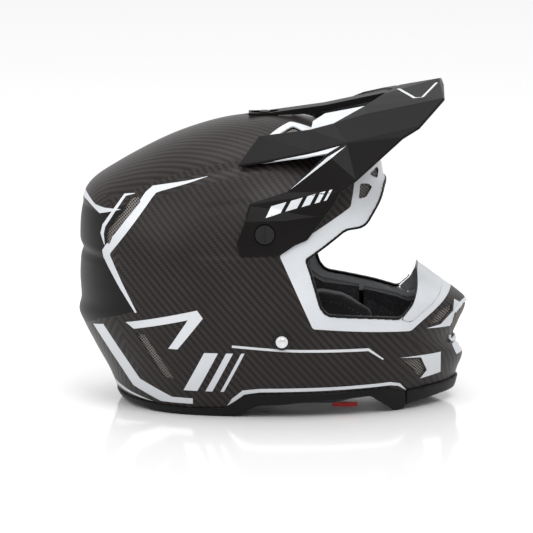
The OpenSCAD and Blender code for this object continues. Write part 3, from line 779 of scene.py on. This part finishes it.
def paint(obj, prisms, index, marker):
    """Lays a colour on the shell: the faces inside the prisms get material number index."""
    cutter = prisms[0] if len(prisms) == 1 else join(prisms, "prisms")
    cutter.data.materials.append(marker)
    inside = duplicate(obj)
    for target, operation in ((inside, "INTERSECT"), (obj, "DIFFERENCE")):
        baked(modify(target, "BOOLEAN", object=cutter, operation=operation, solver="MANIFOLD",
                     material_mode="TRANSFER"))
    order = [m.name for m in PAINTS]
    bm = bmesh.new()
    for part, new_index in ((obj, None), (inside, index)):
        names = [m.name if m else order[0] for m in part.data.materials]
        first = len(bm.faces)
        bm.from_mesh(part.data)
        bm.faces.ensure_lookup_table()
        spare = []
        for f in bm.faces[first:]:
            name = names[f.material_index]
            if name == marker.name:
                spare.append(f)
            else:
                f.material_index = order.index(name) if new_index is None else new_index
        bmesh.ops.delete(bm, geom=spare, context="FACES")
    bmesh.ops.remove_doubles(bm, verts=bm.verts, dist=2e-6)
    obj.data.materials.clear()
    for m in PAINTS:
        obj.data.materials.append(m)
    bm.to_mesh(obj.data)
    bm.free()
    drop(cutter)
    drop(inside)
    return obj


def borrow_normals(obj, source, reach):
    """Gives the vertices near a smooth source surface that surface's own normals."""
    tree = BVHTree.FromObject(source, bpy.context.evaluated_depsgraph_get())
    normals = vertex_normals(source)
    polys = source.data.polygons
    points = coords(source)
    loops = obj.data.loops
    own = np.zeros(len(loops) * 3, np.float32)
    obj.data.corner_normals.foreach_get("vector", own)
    own = own.reshape(-1, 3)
    found = {}
    for v in obj.data.vertices:
        where, _, index, dist = tree.find_nearest(v.co, reach)
        if where is None:
            continue
        ids = list(polys[index].vertices)
        w = 1 / (np.linalg.norm(points[ids] - np.array(where), axis=1) + 1e-7)
        n = (normals[ids] * w[:, None]).sum(0)
        found[v.index] = n / np.linalg.norm(n)
    for poly in obj.data.polygons:
        facing = np.array(poly.normal)
        for k in poly.loop_indices:
            n = found.get(loops[k].vertex_index)
            if n is not None and float(facing @ n) > 0.8:
                own[k] = n
            else:
                own[k] = facing if n is not None else own[k]
    obj.data.normals_split_custom_set([tuple(n) for n in own])


def build_shell():
    smooth_outer = sculpted_body("shell_skin", 0, 400, 84)
    inner = flipped(sculpted_body("shell_inner", -SHELL_T, 160, 36))
    shell = join([duplicate(smooth_outer), inner], "shell_painted")
    subtract(shell, across(rounded(EYE_PORT, 4)))
    subtract(shell, across(BELOW_EDGE))
    subtract(shell, across(grow(GUARD_ZONE, 0.3)))
    for points, inner_y in SIDE_VENTS.values():
        subtract(shell, across(rounded(points, 1.6), inner_y))
    subtract(shell, crown_prisms(rounded(CROWN_VENT, 3)))
    subtract(shell, [prism(rounded(MOUTH_VENT, 4), *FRONT, "x")])
    inner_y, outer_y = SCREW_SEAT
    subtract(shell, [cylinder(PIVOT, a, b, SCREW_SEAT_R) for a, b in ((-outer_y, -inner_y), SCREW_SEAT)])
    subtract(shell, [prism(CROWN_FLAT, CROWN_FLAT_Z, CROWN[1], "z")])
    for material in PAINTS:
        shell.data.materials.append(material)
    marker = bpy.data.materials.new("cut_marker")
    paint(shell, across(REAR_BLACK), 2, marker)
    paint(shell, across(rounded(WHITE_EYE_BAND, 2)), 1, marker)
    stripe = ribbon(REAR_STRIPE_LINE, REAR_STRIPE_W)
    for shape in (stripe, SLOT_EDGE, REAR_FLASH, PINSTRIPE, LOW_STRIPE, CHIN_ACCENT_HIGH,
                  CHIN_ACCENT_LOW, *CHEVRONS):
        paint(shell, across(shape, 20), 1, marker)
    for shape in (REAR_LIP, LIP_FRONT):
        paint(shell, across(shape), 1, marker)
    shell.data.shade_smooth()
    borrow_normals(shell, smooth_outer, 0.6 * MM)
    drop(smooth_outer)
    piece(shell, "helmet", None, ["shell"])


# ---- Mouldings and trims ---------------------------------------------------------------------

def moulding(node, g_out, g_in, zone, holes, material, voxel=None):
    """A piece that follows the shell: rubber when remeshed, hard plastic when its edges are bevelled."""
    obj = subtract(intersect(layer(node + "_moulding", g_out, g_in), zone), holes)
    if voxel:
        remeshed(obj, voxel, 5)
    else:
        shade_by_angle(baked(soften(obj, 0.5)), 40)
    return piece(obj, "helmet", material, [node])


def build_trims():
    guard_gap = across(grow(GUARD_ZONE, 1.2))
    moulding("eyeport_trim", 0.9, -5.0, across(rounded(grow(EYE_PORT, 0.8), 4.5)),
             across(rounded(grow(EYE_PORT, -1.7), 4)) + guard_gap, RUBBER, 1.1)
    moulding("base_trim", 1.7, -5.0, across(rounded(TRIM_ZONE, 2)), [], RUBBER, 1.2)
    moulding("chin_trim", 2.3, -5.0, across(rounded(CHIN_TRIM_ZONE, 2)), [], RUBBER, 1.2)
    moulding("nose_guard", 0.8, -3.2, across(rounded(GUARD_ZONE, 3)), [], WHITE_PLASTIC)
    moulding("mouth_vent_frame", 1.3, 0.1, [prism(rounded(grow(MOUTH_VENT, 2.6), 5), *FRONT, "x")],
             [prism(rounded(MOUTH_VENT, 4), *FRONT, "x"), prism(FRAME_BREAK, *FRONT, "x")],
             WHITE_PLASTIC)
    moulding("crown_intake_frames", 1.2, -0.5, crown_prisms(rounded(CROWN_FRAME, 3)),
             crown_prisms(rounded(CROWN_VENT, 3)), WHITE_PLASTIC)


# ---- Vent meshes -----------------------------------------------------------------------------

def inside(points, x, y):
    """Whether each (x, y) lies in the polygon."""
    p = np.array(points, float)
    q = np.roll(p, -1, axis=0)
    odd = np.zeros(x.shape, bool)
    for (x0, y0), (x1, y1) in zip(p, q):
        if y0 == y1:
            continue
        hit = ((y0 > y) != (y1 > y)) & (x < x0 + (y - y0) / (y1 - y0) * (x1 - x0))
        odd ^= hit
    return odd


def reach(test, lo, hi):
    """The largest value for which test holds, between lo (where it holds) and hi."""
    for _ in range(30):
        mid = (lo + hi) / 2
        good = test(mid)
        lo, hi = np.where(good, mid, lo), np.where(good, hi, mid)
    return lo


def on_side(sign, g):
    return lambda u, v: np.stack([u, sign * half_width(u, v, g), v], axis=1)


def on_crown(sign, g):
    def place(u, v):
        low, high = np.full(u.shape, 125.0), np.full(u.shape, 262.0)
        z = reach(lambda m: half_width(u, m, g) > np.abs(v), low, high)
        return np.stack([u, sign * np.abs(v), z], axis=1)
    return place


def on_front(g):
    def place(u, v):
        low, high = np.full(u.shape, 40.0), np.full(u.shape, 185.0)
        x = reach(lambda m: half_width(m, v, g) > np.abs(u), low, high)
        return np.stack([x, u, v], axis=1)
    return place


def wires(name, shape, place, pitch=2.7, wire=0.9):
    """Diamond mesh over a shape, as crossing wires that lie on the shell's surface."""
    p = np.array(shape, float)
    centre = p.mean(0)
    n = int(np.ptp(p, axis=0).max() / pitch) + 3
    i, j = np.meshgrid(np.arange(-n, n), np.arange(-n, n))
    i, j = i.ravel(), j.ravel()

    def at(a, b):
        return centre[0] + (a + b) * pitch / 2, centre[1] + (a - b) * pitch / 2

    keep = inside(grow(shape, 1.0), *at(i + 0.5, j + 0.5))
    i, j = i[keep], j[keep]
    corners = np.stack([i, j, i + 1, j, i + 1, j + 1, i, j + 1], axis=1).reshape(-1, 2)
    unique, index = np.unique(corners, axis=0, return_inverse=True)
    verts = place(*at(unique[:, 0].astype(float), unique[:, 1].astype(float)))
    obj = new_object(name, to_frame(verts), index.reshape(-1, 4))
    return baked(modify(obj, "WIREFRAME", thickness=wire * MM, use_replace=True, use_boundary=True))


def build_vent_meshes():
    depth = -2.0
    for node in ("chin_vent", "brow_vent", "rear_slot"):
        parts = [wires(name, SIDE_VENTS[name][0], on_side(sign, depth))
                 for name in SIDE_VENTS if name.startswith(node) for sign in (-1, 1)]
        target = "rear_vent_meshes" if node == "rear_slot" else node + "_meshes"
        piece(join(parts, target + "_wire"), "helmet", MESH_WIRE, [target])
    crown = [wires("crown", shape, on_crown(sign, depth))
             for shape, sign in ((CROWN_VENT, -1), (mirrored(CROWN_VENT), 1))]
    piece(join(crown, "crown_intake_wire"), "helmet", MESH_WIRE, ["crown_intake_meshes"])
    mouth = wires("mouth_vent_wire", MOUTH_VENT, on_front(depth), 4.2, 1.1)
    piece(mouth, "helmet", MESH_WIRE, ["mouth_vent_mesh"])


# ---- Soft pieces -----------------------------------------------------------------------------

CLOTH_FRAMES = 20
STITCH, STITCH_GAP, STITCH_LIFT, STITCH_SIDES, THREAD_R = 2.6, 1.6, 0.1, 6, 0.42
# A longer step than this between two hits is a jump to another surface
JUMP = 8


def blow_up(obj, cap, pins):
    """Lets cloth under pressure swell by up to cap mm, held where pins(points in mm) is true."""
    start = coords(obj)
    group = obj.vertex_groups.new(name="seams")
    held = np.flatnonzero(pins(start / MM - np.array([FORE, 0, 0])))
    group.add([int(k) for k in held], 1.0, "REPLACE")
    cloth = obj.modifiers.new("cloth", "CLOTH")
    for key, value in (("use_pressure", True), ("uniform_pressure_force", 4), ("vertex_group_mass", "seams"),
                       ("tension_stiffness", 8), ("compression_stiffness", 8)):
        setattr(cloth.settings, key, value)
    cloth.settings.effector_weights.gravity = 0
    cloth.collision_settings.use_collision = False
    cloth.point_cache.frame_start = 1
    cloth.point_cache.frame_end = CLOTH_FRAMES
    for f in range(1, CLOTH_FRAMES + 1):
        bpy.context.scene.frame_set(f)
    move = coords(obj.evaluated_get(bpy.context.evaluated_depsgraph_get())) - start
    far = np.linalg.norm(move, axis=1, keepdims=True)
    move *= np.minimum(1, cap * MM / np.maximum(far, 1e-9))
    obj.modifiers.remove(cloth)
    set_coords(obj, start + move)
    bpy.context.scene.frame_set(1)
    obj.vertex_groups.clear()


def padded(node, name, voxel, cap, pins, shrink):
    """A soft piece: its CAD solid with even faces, shrunk a little and blown up again as cloth."""
    obj = duplicate(frame["nodes"][node])
    obj.name = name
    obj.modifiers.clear()
    obj.parent = None
    obj.matrix_world = frame["nodes"][node].matrix_world.copy()
    obj.data.transform(obj.matrix_world)
    obj.matrix_world.identity()
    baked(modify(obj, "REMESH", mode="VOXEL", voxel_size=voxel * MM))
    set_coords(obj, coords(obj) - vertex_normals(obj) * shrink * MM)
    blow_up(obj, cap, pins)
    modify(obj, "SMOOTH", factor=0.5, iterations=2)
    baked(modify(obj, "SUBSURF", levels=1, render_levels=1))
    obj.data.shade_smooth()
    return obj


def near_line(points, line, width):
    """Whether each (u, v) point lies within width of a polyline."""
    best = np.full(len(points), 1e9)
    p = np.array(line, float)
    for a, b in zip(p[:-1], p[1:]):
        d = b - a
        t = np.clip(((points - a) @ d) / (d @ d), 0, 1)
        best = np.minimum(best, np.linalg.norm(points - a - t[:, None] * d, axis=1))
    return best < width


def closed(points):
    return list(points) + [tuple(points[0])]


def dense(line, step):
    p = np.array(line, float)
    out = []
    for a, b in zip(p[:-1], p[1:]):
        n = max(1, int(np.linalg.norm(b - a) / step))
        out += [a + (b - a) * k / n for k in range(n)]
    return np.array(out + [p[-1]])


def stitch(first, last):
    """The rings of one stitch between two (point, normal) hits: thin at its ends, fat between."""
    axis = last[0] - first[0]
    size = np.linalg.norm(axis)
    if not 0 < size < JUMP * MM:
        return []
    axis /= size
    n = (first[1] + last[1]) / 2
    n -= axis * (n @ axis)
    n /= np.linalg.norm(n)
    w = 2 * math.pi * np.arange(STITCH_SIDES) / STITCH_SIDES
    ring = (np.outer(np.cos(w), n) + np.outer(np.sin(w), np.cross(axis, n))) * THREAD_R + n * STITCH_LIFT
    mid = (first[0] + last[0]) / 2
    return [point for t, fat in ((-0.5, 0.25), (-0.3, 0.9), (0.3, 0.9), (0.5, 0.25))
            for point in mid + axis * t * size + ring * fat * MM]


def stitches(name, body, target, starts, ways):
    """A row of raised stitches along a line thrown onto a piece, from each start along its way."""
    tree = BVHTree.FromObject(target, bpy.context.evaluated_depsgraph_get())
    hits = []
    for start, way in zip(to_frame(starts), ways):
        where, normal, _, _ = tree.ray_cast(Vector(start), Vector(way))
        hits.append(None if where is None else (np.array(where), np.array(normal)))
    verts, faces, run = [], [], []
    travelled, before = 0.0, None
    for hit in hits + [None]:
        if hit is not None and before is not None:
            step = np.linalg.norm(hit[0] - before[0]) / MM
            travelled += step if step < JUMP else 0
        if hit is not None and travelled % (STITCH + STITCH_GAP) < STITCH:
            run.append(hit)
        else:
            rings = stitch(run[0], run[-1]) if len(run) > 1 else []
            if rings:
                faces += tube_faces(4, STITCH_SIDES, len(verts))
                verts += rings
            run = []
        before = hit
    if verts:
        piece(new_object(name, verts, faces), body, THREAD)


PAD_OUTLINE = [(-36, 8), (64, 8), (88, 17), (97, 34), (93, 66), (66, 80), (44, 84), (32, 76), (28, 52),
               (-20, 50), (-34, 40)]
PAD_SEAM = rounded(grow(PAD_OUTLINE, -9), 8)
PAD_SPLIT = [(28, 10), (34, 30), (36, 52), (40, 74)]


def build_pads():
    for side, sign in (("left", 1), ("right", -1)):
        def pins(p):
            uv = p[:, [0, 2]]
            y = np.abs(p[:, 1])
            seam = near_line(uv, closed(PAD_SEAM), 2.6) | near_line(uv, PAD_SPLIT, 2.6)
            return (seam & (y < 74)) | (y > 81)
        pad = padded("cheek_pad_" + side, "cheek_pad_%s_soft" % side, 4.2, 5.0, pins, 1.4)
        piece(pad, "cheek_" + side, MICRO, ["cheek_pad_" + side])
        for k, line in enumerate((closed(PAD_SEAM), PAD_SPLIT)):
            starts = [(x, sign * 40, z) for x, z in dense(line, 0.45)]
            stitches("cheek_pad_%s_stitches_%d" % (side, k), "cheek_" + side, pad, starts,
                     [(0, sign, 0)] * len(starts))


def build_liner():
    def pins(p):
        y = np.abs(p[:, 1])
        return (np.abs(y - 26) < 2.4) | (np.abs(y - 62) < 2.4) | (np.abs(p[:, 0] + 60) < 2.2)
    liner = padded("comfort_liner", "comfort_liner_soft", 4.6, 3.0, pins, 0.6)
    piece(liner, "helmet", KNIT, ["comfort_liner"])
    ways = [(math.cos(a), 0, math.sin(a)) for a in np.radians(np.arange(5, 215, 0.3))]
    for k, y in enumerate((-62, -26, 26, 62)):
        stitches("comfort_liner_stitches_%d" % k, "helmet", liner, [(-30, y, 125)] * len(ways), ways)


def build_neck_roll():
    def pins(p):
        return np.abs(p[:, 2] - 29) < 2.0
    roll = padded("neck_roll", "neck_roll_soft", 4.6, 5.0, pins, 1.4)
    piece(roll, "helmet", MICRO, ["neck_roll"])
    ways = [(math.cos(a), math.sin(a), 0) for a in np.radians(np.arange(90, 270, 0.3))]
    stitches("neck_roll_stitches", "helmet", roll, [(-40, 0, 22)] * len(ways), ways)


# ---- Strap -----------------------------------------------------------------------------------

RIVET = (11.0, 71.0)
WEB_W = 24.0
STRAP_Y = 53.5


def swept(name, path, x_mid, width, thickness, bulge=0.0):
    """Webbing along a path in the (y, z) plane, with rounded selvedges and a slight crown."""
    p = np.array(path, float)
    d = np.gradient(p, axis=0)
    d /= np.linalg.norm(d, axis=1)[:, None]
    n = np.stack([-d[:, 1], d[:, 0]], axis=1)
    u = np.linspace(-1, 1, 13)
    half = thickness / 2 * np.minimum(1, np.sqrt(np.maximum(1 - u**10, 0.0)) + 0.12)
    ring = [(a * width / 2, h + bulge * (1 - a * a)) for a, h in zip(u, half)]
    ring += [(a * width / 2, -h - bulge * (1 - a * a)) for a, h in zip(u[::-1], half[::-1])]
    verts = [(x_mid + a, *(q + m * b)) for q, m in zip(p, n) for a, b in ring]
    obj = new_object(name, to_frame(verts), tube_faces(len(p), len(ring)))
    return shade_by_angle(on_faces(obj, bmesh.ops.recalc_face_normals), 50)


def smooth_path(points, r):
    """A polyline with rounded corners, open at both ends."""
    p = [np.array(q, float) for q in points]
    out = [p[0]]
    for a, q, b in zip(p[:-2], p[1:-1], p[2:]):
        da, db = a - q, b - q
        ra = min(r, np.linalg.norm(da) * 0.48, np.linalg.norm(db) * 0.48)
        s, e = q + da / np.linalg.norm(da) * ra, q + db / np.linalg.norm(db) * ra
        out += [(1 - t) ** 2 * s + 2 * t * (1 - t) * q + t * t * e for t in np.linspace(0, 1, 9)]
    out.append(p[-1])
    return dense(np.array(out), 2.0)


def build_straps():
    top, outer = RIVET[1] + 3.9, 108.5
    for side, sign in (("left", 1), ("right", -1)):
        low = 13.0 if side == "left" else 42.0
        path = smooth_path([(sign * outer, top), (sign * STRAP_Y, top), (sign * STRAP_Y, low)], 9)
        parts = [swept("strap", path, RIVET[0], WEB_W, 1.8)]
        if side == "left":
            inner = STRAP_Y - 2.4
            fold = smooth_path([(STRAP_Y, 16), (STRAP_Y, 12.4), (inner, 12.4), (inner, 46)], 1.2)
            parts.append(swept("fold", fold, RIVET[0], WEB_W, 1.7))
        else:
            a = np.radians(np.linspace(90, 430, 40))
            loop = np.stack([-STRAP_Y + 3.9 * np.cos(a), 38 + 3.9 * np.sin(a)], axis=1)
            parts.append(swept("loop", loop, RIVET[0], WEB_W, 1.6))
        strap = join(parts, "strap_%s_webbing" % side)
        shade_by_angle(strap, 50)
        piece(strap, "strap_" + side, WEBBING, ["strap_" + side])
        sleeve_path = dense([(sign * STRAP_Y, 47.5), (sign * STRAP_Y, 68.5)], 1.5)
        sleeve = swept("strap_sleeve_%s_soft" % side, sleeve_path, RIVET[0], WEB_W + 4.6, 4.4, 0.9)
        piece(sleeve, "strap_" + side, MICRO, ["strap_sleeve_" + side])
        for k, x in enumerate((-11.18, 11.18)):
            starts = [(RIVET[0] + x, sign * 40, z) for _, z in dense([(0, 48.5), (0, 67.5)], 0.4)]
            stitches("strap_sleeve_%s_stitches_%d" % (side, k), "strap_" + side, sleeve, starts,
                     [(0, sign, 0)] * len(starts))
        fore, back, low, high = sign * 69.2, sign * 71.0, 4.4, 8.2
        loop = smooth_path([(fore, high), (fore, low), (back, low), (back, high)], 0.85)
        tab = swept("release_tab_%s_loop" % side, loop, 66, 21.5, 1.0)
        piece(tab, "cheek_" + side, RED_WEB, ["release_tab_" + side])


# ---- Peak ------------------------------------------------------------------------------------

# Slanted bars on the arm, as [start along the row, width], and the white edges of the notch
PLATE_BARS = [(0, 13), (17, 10), (31, 7), (42, 4.5), (50, 2.5)]
NOTCH_EDGE = [(18, 200.9), (50.0, 228.6), (64.5, 236.5), (66.5, 237.6), (50.5, 225.6)]
TIP_CHEVRON = ribbon([(112, 9), (126, 44), (133, 46), (146, 12)], [2.4, 2.4, 2.4, 2.4])


DECAL_LIFT = 0.12
DECAL_GRID = 1.5


def decal(name, shapes, targets, above=False):
    """Thin markings thrown onto pieces from both sides, or from above as [x, |y|] shapes."""
    graph = bpy.context.evaluated_depsgraph_get()
    trees = [BVHTree.FromObject(t, graph) for t in targets]
    verts, faces = [], []
    for shape in shapes:
        edge = dense(closed(shape), DECAL_GRID)[:-1]
        lo, hi = edge.min(0), edge.max(0)
        gx, gy = np.meshgrid(*(np.arange(a, b, DECAL_GRID) for a, b in zip(lo, hi)))
        fill = np.stack([gx.ravel(), gy.ravel()], axis=1)
        fill = fill[inside(grow(shape, -0.6), fill[:, 0], fill[:, 1])]
        flat = [Vector(q) for q in np.concatenate([edge, fill])]
        found, _, tris, *_ = delaunay_2d_cdt(flat, [], [list(range(len(edge)))], 1, 1e-5)
        for sign in (-1, 1):
            start = to_frame([(q.x, sign * q.y, 320.0) if above else (q.x, sign * 160.0, q.y) for q in found])
            way = Vector((0, 0, -1)) if above else Vector((0, -sign, 0))
            hits = [min((t.ray_cast(Vector(a), way) for t in trees), key=lambda h: h[3] if h[0] else 9.0)
                    for a in start]
            base = len(verts)
            verts += [h[0] + h[1] * DECAL_LIFT * MM if h[0] else Vector(a) for h, a in zip(hits, start)]
            turned = (sign < 0) != above
            for t in tris:
                if all(hits[k][0] for k in t):
                    faces.append([base + k for k in (t if turned else reversed(t))])
    return new_object(name, verts, faces)


# White panels that line the notch and the opening behind the spine, as (x, |y|, z)
FIN_LINER = [(-7, 88.6, 221.2), (35.7, 91.6, 230.6), (66.5, 92.8, 239.2), (50.5, 96.5, 230.6),
             (30, 93.5, 227.2)]
TOP_PANEL = [(86, 34, 262.6), (56.5, 53, 248.6), (36, 60, 243.6), (38.3, 40, 249.6), (49, 32, 255.2)]
PLATE = [(-27.6, 157, 125.4), (-24, 146, 125.4), (8.5, 147, 124.9), (31, 160, 119.8), (46, 180, 115.4),
         (14, 177, 124.4), (-20, 176, 124.2), (-15.5, 188, 114.6)]


def sheet(points, thickness, sign):
    """A thin flat-faced panel between (x, |y|, z) corners."""
    p = np.array(points, float)
    p[:, 1] *= sign
    tris = tessellate_polygon([[Vector((x, z, 0)) for x, _, z in p]])
    obj = new_object("sheet", to_frame(p), tris)
    on_faces(obj, bmesh.ops.recalc_face_normals)
    return baked(modify(obj, "SOLIDIFY", thickness=thickness * MM, offset=0))


def tilted(obj, degrees):
    """Turns a mesh about the peak's pivot."""
    pivot = to_frame((PIVOT[0], 0.0, PIVOT[1]))
    a = math.radians(degrees)
    turn = np.array([[math.cos(a), 0, math.sin(a)], [0, 1, 0], [-math.sin(a), 0, math.cos(a)]])
    set_coords(obj, (coords(obj) - pivot) @ turn.T + pivot)
    return obj


def build_plate(sign):
    """The raised plate round a side screw, which clears the shell and the screw's head."""
    corners = to_frame([(x, sign * (y - d), z) for d in (0, 7) for x, z, y in PLATE])
    plate = new_object("plate", corners, [])
    bm = bmesh.new()
    bm.from_mesh(plate.data)
    bmesh.ops.convex_hull(bm, input=bm.verts)
    bmesh.ops.recalc_face_normals(bm, faces=bm.faces)
    bm.to_mesh(plate.data)
    bm.free()
    for degrees in (-4.3, 0, 4.3):
        carve(plate, tilted(sculpted_body("clearance", 0.6, 120, 26, lined=False), degrees), "DIFFERENCE")
    a, b = sorted((sign * 100, sign * 140))
    carve(plate, cylinder(PIVOT, a, b, 9.2), "DIFFERENCE")
    return baked(soften(plate, 0.7, 25))


def build_peak():
    peak = frame["nodes"]["peak"]
    plate = join([build_plate(sign) for sign in (-1, 1)], "peak_pivot_plates")
    shade_by_angle(plate, 30)
    piece(plate, "peak", PEAK_PLASTIC)
    bars = []
    for start, width in PLATE_BARS:
        x, z = -3 + start, 179 + start * 0.27
        rise = width * 0.28
        bars.append([(x, z), (x + width, z + rise), (x + width + 5, z + 9 + rise), (x + 5, z + 9)])
    for marks in (decal("peak_bars", bars, [peak, plate]), decal("peak_notch_edges", [NOTCH_EDGE], [peak]),
                  decal("peak_tip_chevron", [TIP_CHEVRON], [peak], above=True)):
        piece(marks, "peak", WHITE_PAINT)
    blades = [sheet(points, 1.8, sign) for sign in (-1, 1) for points in (FIN_LINER, TOP_PANEL)]
    piece(shade_by_angle(join(blades, "peak_white_panels"), 30), "peak", WHITE_PLASTIC)


def lathe(name, profile, at, sign, turns=64):
    """A surface turned round a crosswise axis. The profile is [(radius, distance from the middle)]."""
    a = np.linspace(0, 2 * math.pi, turns, endpoint=False)
    verts = [(at[0] + r * math.cos(t), sign * y, at[1] + r * math.sin(t)) for r, y in profile for t in a]
    obj = new_object(name, to_frame(verts), tube_faces(len(profile), turns))
    return shade_by_angle(on_faces(obj, bmesh.ops.recalc_face_normals), 30)


def build_fasteners():
    dome = [(0.01, 125.5), (1.6, 125.4), (3.0, 125.0), (4.1, 124.4), (4.9, 123.6), (5.3, 122.6), (5.3, 120.5)]
    ring = [(5.3, 120.0), (5.3, 123.1), (5.7, 123.5), (6.9, 123.4), (7.6, 122.6), (7.8, 120.0)]
    for side, sign in (("left", 1), ("right", -1)):
        piece(lathe("strap_rivet_dome_" + side, dome, RIVET, sign), "helmet", STEEL)
        piece(lathe("strap_rivet_ring_" + side, ring, RIVET, sign), "helmet", SCREW_BLACK)
    for node in ("peak_screw_left", "peak_screw_right", "peak_centre_screw", "strap_snap", "cheek_snaps"):
        soften(frame["nodes"][node], 0.35)


# ---- Camera, light and floor -----------------------------------------------------------------

def build_stage():
    bpy.ops.mesh.primitive_plane_add(size=8)
    floor = bpy.context.object
    floor.name = "floor"
    sh = Shader("floor_white")
    sh.set(Base_Color=(0.80, 0.80, 0.80, 1.0), Roughness=0.1, Specular_IOR_Level=0.5)
    dress(floor, sh.material)
    world = bpy.data.worlds.new("studio")
    bpy.context.scene.world = world
    world.use_nodes = True
    back = world.node_tree.nodes["Background"]
    back.inputs["Color"].default_value = (1.0, 1.0, 1.0, 1.0)
    back.inputs["Strength"].default_value = 0.95
    bpy.context.scene.view_settings.view_transform = "Standard"
    middle = (Vector(cad_box[0]) + Vector(cad_box[1])) / 2
    for name, offset, size, power in (("key", (0.5, -1.6, 1.9), 1.4, 34),
                                      ("fill", (-1.5, -1.0, 1.2), 1.6, 16),
                                      ("top", (0.0, 0.2, 2.2), 1.8, 22)):
        light = bpy.data.lights.new(name, "AREA")
        light.size = size
        light.energy = power
        lamp = placed(name, light)
        lamp.location = middle + Vector(offset)
        lamp.rotation_euler = (-Vector(offset)).to_track_quat("-Z", "Y").to_euler()


def build_camera():
    """Level side view from the wearer's right, raised by ten degrees, framed on the drawing's box."""
    low, high = (Vector(corner) for corner in cad_box)
    elevation, distance, near_side = math.radians(10), 7.0, 0.04
    view_width = 1.368 * (high.x - low.x)
    # Just behind the box's middle, and a little below its half height
    aim = Vector(((low.x + high.x) / 2 - 6 * MM, 0, low.z + 0.409 * (high.z - low.z)))
    cam = bpy.data.cameras.new("camera")
    cam.sensor_width = 36
    cam.lens = cam.sensor_width * (distance - near_side) / view_width
    obj = placed("camera", cam)
    back = Vector((0, -math.cos(elevation), math.sin(elevation)))
    obj.location = aim + back * distance
    obj.rotation_euler = (-back).to_track_quat("-Z", "Y").to_euler()
    bpy.context.scene.camera = obj


build_shell()
build_trims()
build_vent_meshes()
build_pads()
build_liner()
build_neck_roll()
build_straps()
build_peak()
build_fasteners()
for node in frame["nodes"].values():
    node.data.shade_smooth()
    node.data.set_sharp_from_angle(angle=math.radians(30))
CAD_LOOKS = [
    (FOAM, ("outer_liner", "inner_liner", "chin_bar_liner", "cheek_block_left", "cheek_block_right")),
    (DAMPER, ("isolation_dampers",)),
    (BRASS, ("side_inserts", "centre_insert")),
    (STEEL, ("d_rings", "cheek_snaps", "strap_rivets")),
    (RUBBER, ("peak_washers",)),
    (PEAK_PLASTIC, ("peak",)),
    (SCREW_BLACK, ("peak_screw_left", "peak_screw_right", "peak_centre_screw", "strap_snap")),
]
for material, nodes in CAD_LOOKS:
    for node in nodes:
        dress(frame["nodes"][node], material)

build_stage()
build_camera()
